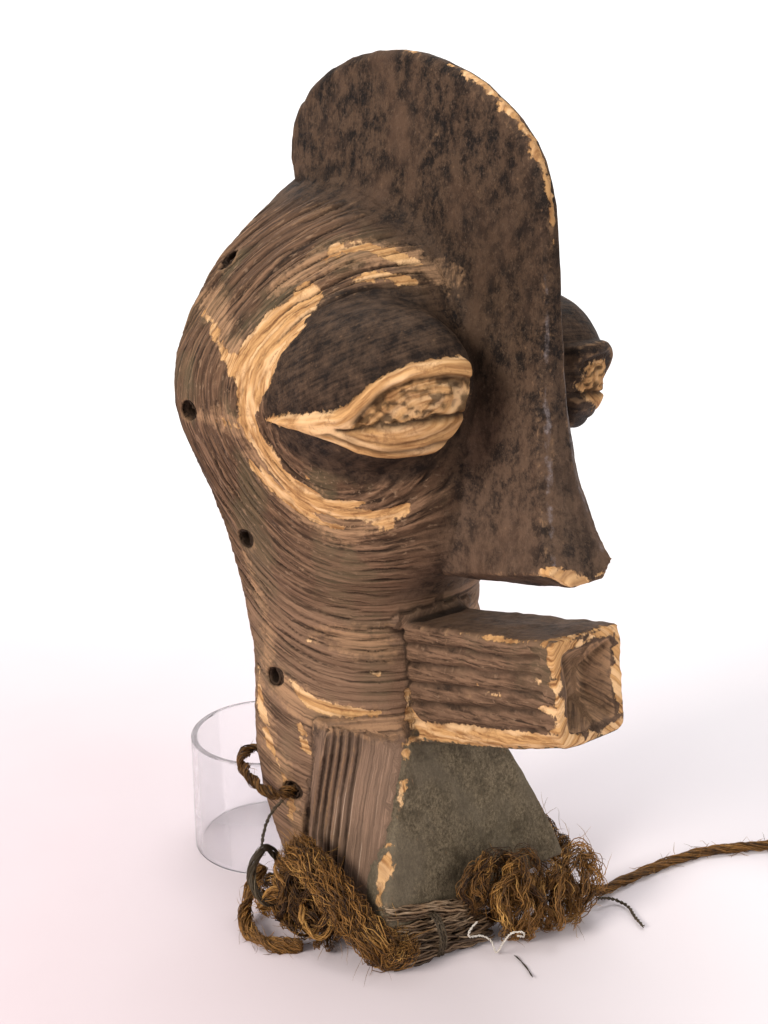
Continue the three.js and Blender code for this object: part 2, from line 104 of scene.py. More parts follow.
# Bare wood on the head, as strokes of spots: forward, height and the stroke's half width.
BARE_ON_HEAD = {
    "above_eye": [(19, 263, 7), (15, 252, 12), (7, 243, 12), (2, 233, 9.5), (-2, 223, 6), (-4, 213, 5)],
    "below_eye": [
        (-4, 210, 4.4), (0, 198, 4.6), (5, 188, 4.8), (15, 179, 5), (25, 174, 4.4), (36, 172.5, 2.2),
        (46, 174, 0.4),
    ],
    "below_eye_thin": [(-12, 196, 0.4), (-3, 184, 1.4), (8, 173, 1.8), (22, 167.5, 1.6), (40, 167, 0.6)],
    "brow": [
        (15, 277, 0.6), (20, 281, 2.4), (28, 283, 3), (36, 279.5, 2.8), (44, 275, 1.4), (49, 271, 0.6),
    ],
    "brow_lower": [(31, 268, 0.8), (37, 269, 2.6), (43, 269, 2), (50, 265, 0.8)],
    "temple": [(-40, 262, 0.4), (-31, 258, 1.2), (-24, 251, 1.6), (-15, 244, 2.4), (-7, 238, 4)],
    "eye_corner": [(-24, 216, 0.2), (-16, 214.5, 0.8), (-10, 213, 2)],
    "ledge": [(-28, 94, 1.6), (-23, 89.5, 3), (-16, 84.5, 4), (-8, 81.5, 3.6), (0, 80.5, 2.2), (7, 79, 1)],
    "rim": [
        (-52, 96, 1), (-49, 80, 1.6), (-44, 66, 2.2), (-40, 57, 1.6), (-35, 48, 1.4), (-34, 32, 3),
        (-38, 26, 1),
    ],
    "under_ledge": [(-23, 74, 1.2), (-21, 66, 1.6), (-19, 60, 1.4)],
    "spots": [(-16, 113, 1.2), (-15, 113, 1.2)],
    "spots_low": [(-22, 103, 0.9), (-21, 103, 0.9)],
    "spots_front": [(6, 96, 1.6), (8, 96, 1.2)],
}

# Wood half worn through its finish.
WORN_ON_HEAD = {
    "temple": [(-48, 270, 3), (-38, 268, 5), (-27, 261, 6), (-18, 254, 5), (-8, 244, 6)],
    "eye_corner": [(-40, 220, 1), (-24, 217, 3), (-8, 213, 5)],
    "below_eye": [(-8, 200, 5), (4, 180, 7), (20, 168, 8), (36, 167, 4)],
    "brow": [(4, 270, 3), (16, 278, 5), (28, 281, 7), (42, 276, 6), (56, 262, 4)],
    "under_hole": [(-44, 150, 1), (-38, 120, 3), (-44, 100, 4)],
    "ledge": [(-40, 92, 4), (-24, 84, 8), (-6, 76, 6), (10, 72, 4)],
    "jaw": [(-10, 118, 3), (2, 112, 6), (10, 108, 6)],
    "rim": [(-50, 90, 3), (-42, 66, 6), (-36, 50, 6), (-32, 30, 5), (-36, 8, 4)],
}

# A painted sheen: the greyish line down the edge between the nose's side and its narrow front.
EDGE_LINE = [
    (3.4, 106, 262, 0), (4, 104.5, 237, 0.4), (5.2, 102.7, 218, 0.9), (6.3, 102.1, 199, 1.2),
    (8.1, 102.9, 180, 1),
    (10.7, 104.8, 164.5, 0.8), (14.1, 107.8, 151.7, 0.4),
]

# Bare wood elsewhere: across, forward, height and half width.
BARE_STROKES = {
    "crest": [
        (0, 62, 349, 1), (0, 72, 342, 2.4), (0, 85, 331.5, 2.8), (0, 96.5, 320, 3), (0, 104, 307.5, 3),
        (0, 108.5, 296, 2.6), (0, 109.5, 281, 1.4), (0, 109, 270, 0.4),
    ],
    "crest_top": [(0, 20, 363, 0.8), (0, 40, 358, 1)],
    "nose_tip": [(17, 104, 148, 1.2), (14, 109, 147, 2), (10, 110, 145, 2), (-6, 112, 141, 2.4)],
    "nose_foot": [(14, 96, 141, 0.8), (13, 104, 141, 1.6)],
    "mouth_strip": [(19, 10, 66, 4.4), (19, 40, 71, 4.6), (19, 75, 76, 4.4), (19, 108, 80, 4)],
    "mouth_strip_root": [(19, 13, 86, 1.6), (19, 14, 76, 3), (19, 18, 68, 4)],
    "mouth_side_edge": [(19, 109, 82, 2.6), (19, 109, 100, 1.6), (19, 109, 119, 3.4)],
    "mouth_top_edge": [(19, 50, 119.5, 0.2), (19, 82, 120.5, 1), (19, 104, 121, 2.2)],
    "mouth_chip_high": [(19, 96, 106, 0.2), (19, 104, 106.6, 1.4), (19, 109, 107, 3)],
    "mouth_chip_low": [(19, 94, 93, 0.2), (19, 103, 93.6, 1.6), (19, 109, 94, 3.4)],
    "mouth_chip_foot": [(19, 99, 84, 0.2), (19, 109, 86, 3)],
    "mouth_top_front": [(17, 103, 122, 0.6), (12, 106, 122, 2.2), (2, 108, 122, 1.6), (-8, 109, 122, 2.4)],
    "mouth_splinter": [(19.5, 62, 96.5, 0.2), (19.5, 70, 95.5, 1.2), (19.5, 80, 94.5, 0.6)],
    "neck_corner_top": [(24, 16, 66, 2), (26, 17, 60, 1.2)],
    "neck_corner_middle": [(31, 19, 47, 1.6), (34, 20, 41, 2)],
    "neck_corner_low": [(40, 21, 28, 1), (44, 20.5, 18, 2.6), (48, 20, 10, 3.2), (52, 20, 0, 2.4)],
}

# The loose strands' middle lines as the solids have them, before the whole is centred.
ROUTES = {
    "raffia_cord": [
        (40, -50.5, 14), (50, -50, 9), (61, -49.5, 4), (74.4, -48.4, 2.6), (101.6, -50.3, 2.6),
        (127, -55.2, 2.6), (144, -63, 2.6), (160, -71.5, 2.6), (170.5, -77.1, 2.6),
    ],
    "front_rope": [
        (-68, 24, 38), (-66.5, 10, 36), (-66, -4, 31), (-63.5, -16, 23), (-59, -25, 14), (-51, -31.5, 8),
    ],
    "front_hank": [(-43, -32, 7), (-30, -34, 7), (-16, -36.5, 7)],
    "floor_loop": [
        (-71, 44, 22), (-80, 42, 12), (-87, 35, 5), (-90, 24, 3.2), (-86, 12, 3.2), (-77, 3, 3.2),
    ],
    "ring_loop": [
        (-76.7, 35.6, 36), (-83.8, 34.1, 28), (-84.7, 27.1, 20), (-78.4, 22.9, 16), (-69.5, 27.4, 16),
        (-66.5, 35, 24), (-70, 38.4, 32),
    ],
    "hanging_twine": [(-63, 38, 56), (-67, 39.5, 52), (-71, 39.5, 47), (-74.5, 38, 41), (-76, 36.5, 37.5)],
    "trailing_twine": [
        (51, -54.5, 6), (57, -55, 4), (62, -57.5, 2.2), (63, -64, 1.6), (59.5, -71, 1.6), (56.5, -79, 1.6),
    ],
    "white_thread": [
        (-15, -44, 15.3), (-19.6, -44.5, 13.3), (-20.7, -45, 10.5), (-14.4, -46, 8.8), (-10.8, -48.5, 6.2),
        (-10.1, -51.5, 1.6), (-10.6, -56, 9), (-10.6, -61, 16.6), (-5.9, -63, 16.3),
        (-5.2, -63.5, 14.1), (-8.8, -63, 15.7),
    ],
    "floor_hair": [
        (-4.3, -56.8, 0.6), (-4.7, -61, 0.5), (-6, -66.3, 0.5), (-7.6, -70.3, 0.6), (-9.5, -74.1, 1.4),
    ],
}
LACING = [
    (66, -33, 41), (69.5, -43, 45), (69, -54, 50), (65, -62, 53), (57, -65, 54), (48, -62, 52),
    (43, -52, 49), (41, -41, 43.5), (46.5, -34, 41), (57, -32.8, 40.8),
]
# Each tuft's lobes: the middle and half sizes of the room its locks fill.
TUFTS = {
    "left_tuft": [
        ((-70, 16, 19), (14, 23, 19)), ((-68, 0, 16), (12, 20, 16)), ((-73, 26, 14), (13, 16, 14)),
    ],
    "right_tuft": [
        ((7, -48, 18), (17, 13, 18)), ((-3, -37, 24), (19, 8, 20)), ((10, -45, 27), (15, 12, 17)),
        ((24, -55, 17), (13, 13, 17)), ((39, -52, 21), (14, 14, 19)),
    ],
    "far_tuft": [((63, -4, 11), (12, 24, 12))],
}

ring_low, ring_high = (np.array(corner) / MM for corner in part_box("support_ring"))
SHIFT = np.array([*((ring_low + ring_high) / 2 - (RING["x"], RING["y"], 0))[:2], 0])


def camera():
    """The photograph's view: from the left and above, looking down at the middle of the mask."""
    turn, down, distance = VIEW_TURN, math.radians(15.9), 528
    target = np.array([-33.4, 0, 197.8]) + SHIFT
    look = np.array([-math.sin(turn) * math.cos(down), math.cos(turn) * math.cos(down), -math.sin(down)])
    lens = bpy.data.cameras.new("camera")
    lens.lens = 43.95
    lens.clip_start = 0.01
    made = bpy.data.objects.new("camera", lens)
    made.location = Vector((target - look * distance) * MM)
    made.rotation_euler = Vector(look).to_track_quat("-Z", "Y").to_euler()
    bpy.context.collection.objects.link(made)
    bpy.context.scene.camera = made


def either(full):
    return full


def smoothstep(low, high, value):
    part = np.clip((value - low) / (high - low), 0, 1)
    return part * part * (3 - 2 * part)


def to_mask(points):
    """Points of the row's frame in the mask's own: x, forward, height."""
    x, y, z = (points - SHIFT - (0, 0, LIFT)).T
    forward = z * math.sin(LEAN) - y * math.cos(LEAN)
    height = z * math.cos(LEAN) + y * math.sin(LEAN)
    return np.stack([x, forward, height], 1)


def to_row(points):
    x, forward, height = np.asarray(points, float).T
    y = height * math.sin(LEAN) - forward * math.cos(LEAN)
    z = height * math.cos(LEAN) + forward * math.sin(LEAN)
    return np.stack([x, y, z], 1) + SHIFT + (0, 0, LIFT)


def noise(points, size, seed):
    """Smooth random values from -1 to 1, with bumps about `size` long, one size or one for each axis."""
    table = np.random.default_rng(seed).uniform(-1, 1, 4096)
    spot = points / size
    cell = np.floor(spot).astype(np.int64)
    part = spot - cell
    part = part * part * (3 - 2 * part)
    total = np.zeros(len(points))
    for corner in itertools.product((0, 1), repeat=3):
        x, y, z = (cell + corner).T
        key = (x * 73856093) ^ (y * 19349663) ^ (z * 83492791)
        total += np.prod(np.where(corner, part, 1 - part), axis=1) * table[key & 4095]
    return total


def through(xs, ys, x):
    """The smooth curve through the points (xs, ys), read at x."""
    slope = np.gradient(ys, xs)
    i = np.clip(np.searchsorted(xs, x) - 1, 0, len(xs) - 2)
    step = xs[i + 1] - xs[i]
    t = np.clip((x - xs[i]) / step, 0, 1)
    start = (1 + 2 * t) * (1 - t) ** 2 * ys[i] + t * (1 - t) ** 2 * step * slope[i]
    return start + t * t * (3 - 2 * t) * ys[i + 1] + t * t * (t - 1) * step * slope[i + 1]


def head_field(spots):
    """0 on the head's smooth skin, more outside; spots have their across value made positive."""
    half = through(HEAD[:, 0], HEAD[:, 1], spots[:, 2])
    reach = through(HEAD[:, 0], HEAD[:, 2], spots[:, 2])
    out = np.maximum(spots[:, 1] - RIM, 0) / (reach - RIM)
    return ((np.abs(spots[:, 0]) / half) ** FULLNESS + out ** FULLNESS) ** (1 / FULLNESS) - 1


def on_eye(spots):
    """Lengths along the eye, up it and out from its middle."""
    across = spots[:, 0] - EYE["across"]
    forward = spots[:, 1] - EYE["forward"]
    sine, cosine = math.sin(EYE["turn"]), math.cos(EYE["turn"])
    return cosine * forward - sine * across, spots[:, 2] - EYE["height"], cosine * across + sine * forward


def eye_field(spots):
    along, up, out = on_eye(spots)
    return np.sqrt((out / EYE["out"]) ** 2 + (along / EYE["long"]) ** 2 + (up / EYE["tall"]) ** 2) - 1


def away_from(field, spots):
    """How far spots lie outside a form, and the way out of it there."""
    step = 0.2
    value = field(spots)
    slope = np.stack([field(spots + step * axis) - value for axis in np.eye(3)], 1) / step
    steep = np.maximum(np.linalg.norm(slope, axis=1), 1e-6)
    return value / steep, slope / steep[:, None]


def turn_round_eye(forward, height):
    """The angle at which places lie round the middle of the carved lines."""
    return np.arctan2(height - LINES_MIDDLE[1], LINES_MIDDLE[0] - forward)


def rings_round_eye(forward, height):
    """Distance of the carved lines from the bare arc at the eye's corner, more further from the eye."""
    upper = np.hypot(forward - UPPER_ARC[0], height - UPPER_ARC[1]) - UPPER_ARC[2]
    around = np.hypot(forward - LOWER_ARC[0], height - LOWER_ARC[1]) - LOWER_ARC[2]
    level = LOWER_ARC[1] - LOWER_ARC[2] - height + 0.1 * (forward - LOWER_ARC[0])
    lower = around + (level - around) * smoothstep(20, 60, forward) * smoothstep(8, 26, around)
    return lower + (upper - lower) * smoothstep(-7, 7, height - 212)


def stroke_field(spots, stroke):
    """How deep spots lie inside a stroke of round spots, less than 0 outside it."""
    best = np.full(len(spots), -99.0)
    for first, last in itertools.pairwise(np.array(stroke, float)):
        run = last[:3] - first[:3]
        part = np.clip((spots - first[:3]) @ run / (run @ run), 0, 1)
        gap = np.linalg.norm(spots - first[:3] - part[:, None] * run, axis=1)
        best = np.maximum(best, first[3] + (last[3] - first[3]) * part - gap)
    return best


def head_stroke(stroke):
    """A stroke on the head's side with its across values filled in."""
    filled = []
    for forward, height, half in stroke:
        side = through(HEAD[:, 0], HEAD[:, 1], height)
        reach = through(HEAD[:, 0], HEAD[:, 2], height)
        out = min(max((forward - RIM) / (reach - RIM), 0), 0.999)
        filled.append((side * (1 - out ** FULLNESS) ** (1 / FULLNESS), forward, height, half))
    return filled


def smooth_line(points, count, closed=False):
    """`count` evenly spaced points on the smooth line through the given ones."""
    points = np.asarray(points, float)
    if closed:
        points = np.concatenate([points[-1:], points, points[:2]])
    else:
        points = np.concatenate([2 * points[:1] - points[1:2], points, 2 * points[-1:] - points[-2:-1]])
    dense = []
    for a, b, c, d in zip(points, points[1:], points[2:], points[3:]):
        t = np.linspace(0, 1, 24, endpoint=False)[:, None]
        bend, twist = 2 * a - 5 * b + 4 * c - d, 3 * b - a - 3 * c + d
        dense.append(0.5 * (2 * b + (c - a) * t + bend * t ** 2 + twist * t ** 3))
    dense = np.concatenate([*dense, points[-2:-1]])
    run = np.concatenate([[0], np.cumsum(np.linalg.norm(np.diff(dense, axis=0), axis=1))])
    places = np.linspace(0, run[-1], count)
    return np.stack([np.interp(places, run, column) for column in dense.T], 1)


def inside_outline(spots, outline):
    """Distance inside a smooth closed outline in a plane, less than 0 outside it."""
    ring = smooth_line(outline, 73, closed=True)[:-1]
    nearest = np.full(len(spots), 99.0)
    crossings = np.zeros(len(spots), bool)
    for a, b in zip(ring, np.roll(ring, -1, axis=0)):
        run = b - a
        part = np.clip((spots - a) @ run / (run @ run), 0, 1)
        nearest = np.minimum(nearest, np.linalg.norm(spots - a - part[:, None] * run, axis=1))
        spans = (a[1] > spots[:, 1]) != (b[1] > spots[:, 1])
        if abs(run[1]) > 1e-9:
            crossings ^= spans & (spots[:, 0] < a[0] + (spots[:, 1] - a[1]) * run[0] / run[1])
    return np.where(crossings, nearest, -nearest)


def mesh_of(name, points, faces):
    """A mesh from points in millimetres and faces that all have equally many corners."""
    mesh = bpy.data.meshes.new(name)
    mesh.vertices.add(len(points))
    mesh.vertices.foreach_set("co", (points * MM).astype(np.float32).ravel())
    mesh.loops.add(faces.size)
    mesh.loops.foreach_set("vertex_index", faces.astype(np.int32).ravel())
    mesh.polygons.add(len(faces))
    mesh.polygons.foreach_set("loop_start", np.arange(0, faces.size, faces.shape[1], dtype=np.int32))
    mesh.update(calc_edges=True)
    mesh.shade_smooth()
    return mesh


def piece(name, mesh, material, slot, *nodes):
    """A visible piece that stands for CAD nodes."""
    made = bpy.data.objects.new(name, mesh)
    bpy.context.collection.objects.link(made)
    mesh.materials.clear()
    mesh.materials.append(material)
    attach(made, "root")
    if nodes:
        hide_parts(*nodes)
    return made


def points_of(mesh):
    flat = np.empty(len(mesh.vertices) * 3, np.float32)
    mesh.vertices.foreach_get("co", flat)
    return flat.reshape(-1, 3).astype(float) / MM


def move_points(mesh, points):
    mesh.vertices.foreach_set("co", (points * MM).astype(np.float32).ravel())
    mesh.update()


def normals_of(mesh):
    flat = np.empty(len(mesh.vertices) * 3, np.float32)
    mesh.vertex_normals.foreach_get("vector", flat)
    return flat.reshape(-1, 3).astype(float)


def eased(values, mesh, times, among=None):
    """Values at the vertices, drawn towards their neighbours' `times` over, all or only those `among`."""
    pairs = np.empty(len(mesh.edges) * 2, np.int32)
    mesh.edges.foreach_get("vertices", pairs)
    pairs = pairs.reshape(-1, 2)
    if among is not None:
        chosen = np.flatnonzero(among)
        place = np.full(len(values), -1)
        place[chosen] = np.arange(len(chosen))
        pairs = place[pairs[among[pairs].all(1)]]
        result = values.copy()
        result[chosen] = draw_together(values[chosen], pairs, times)
        return result
    return draw_together(values, pairs, times)


def draw_together(values, pairs, times):
    first, last = pairs.T
    count = np.bincount(pairs.ravel(), minlength=len(values))
    for _ in range(times):
        columns = [
            np.bincount(first, column[last], len(values)) + np.bincount(last, column[first], len(values))
            for column in values.T
        ]
        values = 0.4 * values + 0.6 * np.stack(columns, 1) / np.maximum(count, 1)[:, None]
    return values


def store(mesh, **fields):
    """Keeps values at the vertices for the material to read."""
    for name, values in fields.items():
        layer = mesh.attributes.new(name, "FLOAT", "POINT")
        layer.data.foreach_set("value", np.asarray(values, np.float32))


def applied(mesh, *modifiers):
    """The mesh after modifiers, each a kind and its settings."""
    work = bpy.data.objects.new("work", mesh)
    bpy.context.collection.objects.link(work)
    for kind, settings in modifiers:
        modifier = work.modifiers.new(kind.lower(), kind)
        for key, value in settings.items():
            setattr(modifier, key, value)
    result = bpy.data.meshes.new_from_object(work.evaluated_get(bpy.context.evaluated_depsgraph_get()))
    bpy.data.objects.remove(work)
    return result


def mirrored(points):
    """The mask's own frame with the across values made positive, and the side each point is on."""
    spots = to_mask(points)
    side = np.where(spots[:, 0] < 0, -1.0, 1.0)
    spots[:, 0] = np.abs(spots[:, 0])
    return spots, side


def direction_to_mask(normals):
    return to_mask(normals + SHIFT + (0, 0, LIFT))


def off_head(spots):
    """How far spots lie outside the head, which ends well behind the crest's edge, and the way out."""
    away, out = away_from(head_field, spots)
    return np.where(spots[:, 1] > 80, 99.0, away), out


def neck_face(spots):
    """On the neck's side: the share of the way back, the side's width, how far outside, the way out."""
    stations = (np.interp(spots[:, 2], NECK[:, 0], column) for column in NECK.T[1:])
    corner, front, back, back_forward = stations
    run = np.stack([back - corner, back_forward - front], 1)
    width = np.linalg.norm(run, axis=1)
    from_corner = spots[:, :2] - np.stack([corner, front], 1)
    outward = np.stack([-run[:, 1], run[:, 0]], 1) / width[:, None]
    return (from_corner * run).sum(1) / width ** 2, width, (from_corner * outward).sum(1), outward


def recut(rows, mouth, neck):
    """Cuts the straight grooves of the mouth and neck cleanly, and tells how far each point is from one."""
    spots, side = mirrored(rows)
    x, forward, height = spots.T
    part = (forward - MOUTH["root"]) / (MOUTH["tip"] - MOUTH["root"])
    foot = MOUTH["root_foot"] + (MOUTH["foot"] - MOUTH["root_foot"]) * part
    tall = MOUTH["root_top"] + (MOUTH["top"] - MOUTH["root_top"]) * part - foot
    up = (height - foot + 0.7 * noise(rows, (30, 14, 14), 71)) / tall
    gap = np.min([np.abs(up - place) for place in MOUTH_GROOVES], axis=0) * tall
    gap += FAR * smoothstep(0.92, 0.97, part)
    share, width, outside, neck_out = neck_face(spots)
    flute_gap = np.min([np.abs(share - place) for place in FLUTES], axis=0) * width
    gap = np.where(neck, flute_gap, np.where(mouth, gap, FAR))
    change = np.where(neck, -outside, MOUTH["half"] - x)
    outward = np.where(neck[:, None], neck_out, (1, 0))
    flat = mouth & (x > 15.8) & (up > 0.08) & (up < 0.95) & (part < 0.97)
    flat |= neck & (share > 0.5) & (share < 0.985) & (outside > -2.6) & (outside < 0.8)
    deep = 1.1 * np.exp(-(gap / 1.2) ** 2) * (1 + 0.9 * noise(rows, (12, 12, 20), 72))
    spots[:, :2] += np.where(flat, change - deep, 0)[:, None] * outward
    spots[:, 0] *= side
    return to_row(spots), np.where(flat, gap, FAR)


def neck_side(spots):
    """1 where a spot belongs to the neck, below and before the cheek's lower edge, 0 on the head."""
    behind = np.interp(spots[:, 2], CHEEK_FOOT[:2, 1], CHEEK_FOOT[:2, 0])
    above = np.interp(spots[:, 1], CHEEK_FOOT[1:, 0], CHEEK_FOOT[1:, 1])
    return ((spots[:, 2] < above) & (spots[:, 1] > behind)).astype(float)


def ahead_of_rim(spots):
    """0 on the flat rim of the back, 1 just before it."""
    return smoothstep(RIM + 0.4, RIM + 2.5, spots[:, 1])


def skin_share(spots, normals):
    """1 where a spot belongs to the head's smooth skin, 0 elsewhere."""
    away, out = off_head(spots)
    facing = smoothstep(0.15, 0.5, (normals * out).sum(1))
    near = smoothstep(-3.8, -2.6, away) * (1 - smoothstep(1, 2.2, away))
    return near * facing * ahead_of_rim(spots) * (1 - neck_side(spots))


def face_form(spots):
    """Distance outside the head and eye run together with a soft fillet, and the way out."""
    head, head_out = off_head(spots)
    eye, eye_out = away_from(eye_field, spots)
    soft = 11 - 6 * smoothstep(45, 75, spots[:, 1])
    share = np.clip(0.5 + 0.5 * (head - eye) / soft, 0, 1)
    away = head + (eye - head) * share - soft * share * (1 - share)
    out = head_out + (eye_out - head_out) * share[:, None]
    return away, out / np.linalg.norm(out, axis=1, keepdims=True), head, eye


def near_eye(spots, head_away, eye_away):
    """1 on the eye itself, less on the fillet round it."""
    beside = smoothstep(19, 23, spots[:, 0]) * smoothstep(0.4, 2.4, head_away)
    return beside * (1 - smoothstep(3, 5, np.abs(eye_away - 0.6)))


def lid_height(spots, rows):
    """Height of the lids over the eye, the distance inside their outline, and their dark share: painted
    shade in the slit, the grooves, the well and along its upper rim, and a darker tone on the lower lid.
    """
    along, up, _ = on_eye(spots)
    drawn = np.stack([along, up], 1)
    drawn += 0.5 * np.stack([noise(rows, 5, 21), noise(rows, 5, 22)], 1)
    edge = inside_outline(drawn, LID_OUTLINE)
    well = inside_outline(drawn, LID_WELL)
    flat = np.column_stack([drawn, np.zeros(len(drawn))])
    slit = stroke_field(flat, [(u, v, 0, 0) for u, v in LID_SLIT])
    cut = np.exp(-(slit / 0.8) ** 2)
    below = smoothstep(0.5, 2, -13.5 - drawn[:, 1])
    grooves = below * (np.exp(-((edge - 4.2) / 0.8) ** 2) + 0.7 * np.exp(-((edge - 7.4) / 0.7) ** 2))
    inside = smoothstep(-1.6, 0.2, well)
    crumbs = inside * (1.5 * noise(rows, 3.4, 23) + 0.6 * noise(rows, 1.6, 24))
    brow = (1 - below) * np.exp(-((edge - 3.4) / 2.2) ** 2)
    height = LID_RISE * smoothstep(-0.7, 2.2, edge) + 0.7 * brow
    height = height - 2.5 * inside - 1.6 * cut - 0.7 * grooves + crumbs
    # Painted shade inside the well; below the slit, a darker tone on the lower lid.
    stain_and_shade = inside * (0.2 + 0.7 * smoothstep(-0.1, 0.3, noise(rows, (2.2, 2.2, 1.6), 25)))
    stain_and_shade = np.maximum(stain_and_shade, below * (0.1 + 0.3 * smoothstep(-0.2, 0.6, noise(rows, 6, 26))))
    # A painted shadow along the well's upper rim.
    well_rim_shadow = (1 - below) * np.exp(-((well + 0.2) / 0.9) ** 2) * (drawn[:, 1] > -12)
    return height, edge, np.maximum.reduce([cut, 0.7 * grooves, stain_and_shade, 0.8 * well_rim_shadow])


def line_pattern(spots, rows):
    """The carved lines of the cheek and brow: their depth from 0 to 1, and the share of them that shows."""
    rings = rings_round_eye(spots[:, 1], spots[:, 2])
    bent = rings + 1.5 * noise(rows, 17, 31) + 0.6 * noise(rows, 6, 32)
    wave = np.abs(np.sin(np.pi * bent / 4.6))
    brow = smoothstep(246, 268, spots[:, 2])
    strength = 0.5 + 0.4 * brow + 0.9 * noise(rows, 22, 33) + 0.5 * noise(rows, 8, 34)
    strength = np.clip(strength, 0.08 + 0.3 * brow, 1.2)
    depth = (1 - smoothstep(0.03, 0.5, wave)) * strength
    beside = np.where(spots[:, 2] > 150, 13, 20)
    shows = smoothstep(0, 9, spots[:, 0] - beside) * smoothstep(-14, -8, rings)
    shows *= (1 - smoothstep(300, 314, spots[:, 2])) * smoothstep(76, 104, spots[:, 2])
    quiet = (1 - smoothstep(-34, -12, spots[:, 1])) * np.exp(-((spots[:, 2] - 222) / 20) ** 2)
    return depth, shows * (1 - 0.85 * quiet), rings


def deepest(spots, strokes):
    field = np.full(len(spots), -99.0)
    for stroke in strokes:
        field = np.maximum(field, stroke_field(spots, stroke))
    return field


def bare_field(spots, side, rows):
    """How deep each spot lies in a bare patch of wood, in millimetres, less than 0 outside the patches."""
    field = deepest(spots, [*map(head_stroke, BARE_ON_HEAD.values()), *BARE_STROKES.values()])
    front = smoothstep(MOUTH["tip"] - 2.5, MOUTH["tip"] - 0.5, spots[:, 1]) * (spots[:, 2] < 126)
    rim = np.maximum(np.abs(spots[:, 0]) - 13.5, np.abs(spots[:, 2] - MOUTH_MIDDLE) - 16.5)
    rim = np.minimum(rim, 2.4) - 0.6 + 3.4 * noise(rows, 8, 44) + np.where(side > 0, 2, 0)
    field = np.maximum(field, np.where(front > 0.5, rim, -99))
    turn = turn_round_eye(spots[:, 1], spots[:, 2])
    drawn = np.stack([rings_round_eye(spots[:, 1], spots[:, 2]), 6 * turn, 9 * side], 1)
    streaky = 1.8 + 2.6 * (1 - smoothstep(192, 208, spots[:, 2])) * (spots[:, 2] > 150)
    field += 1.2 * noise(rows, 7, 41) + 0.7 * noise(rows, 2.6, 42) + streaky * noise(drawn, 1.9, 43)
    return field - np.where(side > 0, 2.5, 0)


def worn_field(spots, side, rows):
    field = deepest(spots, map(head_stroke, WORN_ON_HEAD.values()))
    return field + 3 * noise(rows, 9, 45) + 1.5 * noise(rows, 3.5, 46) - np.where(side > 0, 3, 0)


def turned_out(mesh, side):
    """The vertices' normals in the mirrored frame of the mask."""
    normals = direction_to_mask(normals_of(mesh))
    normals[:, 0] *= side
    return normals


def smooth_forms(mesh):
    """Draws the flat faces of the head and eyes onto their smooth forms, and softens the crest's root."""
    rows = points_of(mesh)
    for turn in range(4):
        spots, side = mirrored(rows)
        away, out, head, eye = face_form(spots)
        facing = smoothstep(0.1, 0.45, (turned_out(mesh, side) * out).sum(1))
        on_lids = near_eye(spots, head, eye)
        share = smoothstep(-3.8, -2.6, away) * (1 - smoothstep(3.8, 5, away))
        share *= ahead_of_rim(spots) * (1 - neck_side(spots))
        share *= np.maximum(facing * (1 - smoothstep(1, 2.2, away) * (1 - on_lids)), on_lids)
        spots -= out * (away * share)[:, None]
        spots[:, 0] *= side
        rows = to_row(spots)
        if turn < 3:
            rows += (eased(rows, mesh, 3) - rows) * np.maximum(on_lids, 0.4 * share)[:, None]
        move_points(mesh, rows)
    spots, side = mirrored(rows)
    _, _, head, eye = face_form(spots)
    x, forward, height = spots.T
    crease = (1 - smoothstep(9, 17, head)) * (1 - smoothstep(24, 36, x)) * smoothstep(-4, -2, head)
    crease *= smoothstep(4, 8, eye) * smoothstep(137, 150, height) * smoothstep(RIM + 6, RIM + 20, forward)
    notch = smoothstep(-12, -6, forward) * (1 - smoothstep(16, 19, forward)) * (x > 21)
    notch *= 1 - smoothstep(5, 11, np.abs(height - 70))
    share = np.maximum(crease, notch)
    soft = eased(rows, mesh, either(170), share > 0)
    rows += (soft - rows) * share[:, None]
    move_points(mesh, rows)


def hole_share(spots):
    """1 inside the lacing holes, which are worn wider towards the face; this share sinks them and paints
    shade into them.
    """
    _, forward, height = spots.T
    nearest = np.min([np.hypot((forward - f - 1.6) / 1.35, height - h) for f, h in HOLES], axis=0)
    return (1 - smoothstep(3.9, 4.9, nearest)) * (spots[:, 0] > 25)


def fine_mask():
    """The mask's solid in fine even faces, with its head and eyes smooth."""
    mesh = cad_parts["mask"].data.copy()
    mesh.transform(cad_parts["mask"].matrix_world)
    voxel = either(0.9)
    mesh = applied(
        mesh,
        ("REMESH", {"mode": "VOXEL", "voxel_size": voxel * MM}),
        ("SMOOTH", {"factor": 0.5, "iterations": 3}),
    )
    smooth_forms(mesh)
    return mesh


def mask_parts(rows, spots, head, eye):
    """The parts of the mask: which spots are on the mouth, in its pit, on the crest, the neck and so on."""
    x, forward, height = spots.T
    behind_eye = np.maximum(1 - smoothstep(-2, 0, -eye), smoothstep(5, 6.5, -head))
    inside = smoothstep(1.5, 3.5, -head) * behind_eye
    mouth = (head > 1.2) & (forward > 5) & (x < 21) & (height > 55) & (height < 127)
    crest = (head > 1.2) & (x < 19) & (height >= 127)
    neck = neck_side(spots) > 0.5
    well = (x < 15.5) & (np.abs(height - MOUTH_MIDDLE) < 19) & (forward > 92) & (height < 126)
    corner = np.interp(height, NECK[:, 0], NECK[:, 1])
    front = smoothstep(8, 12, forward) * (1 - smoothstep(0, 3, x - corner))
    grey = front * (1 - smoothstep(64, 70, height - 0.11 * forward))
    dome = (x > 16) * (1 - smoothstep(5, 10, eye + 1.5 * noise(rows, 6, 61))) * smoothstep(-3, -1, head)
    return {
        "inside": inside, "mouth": mouth, "crest": crest, "neck": neck, "well": well,
        "pit": well & (forward < MOUTH["tip"] - 1), "grey": grey, "dome": dome,
    }


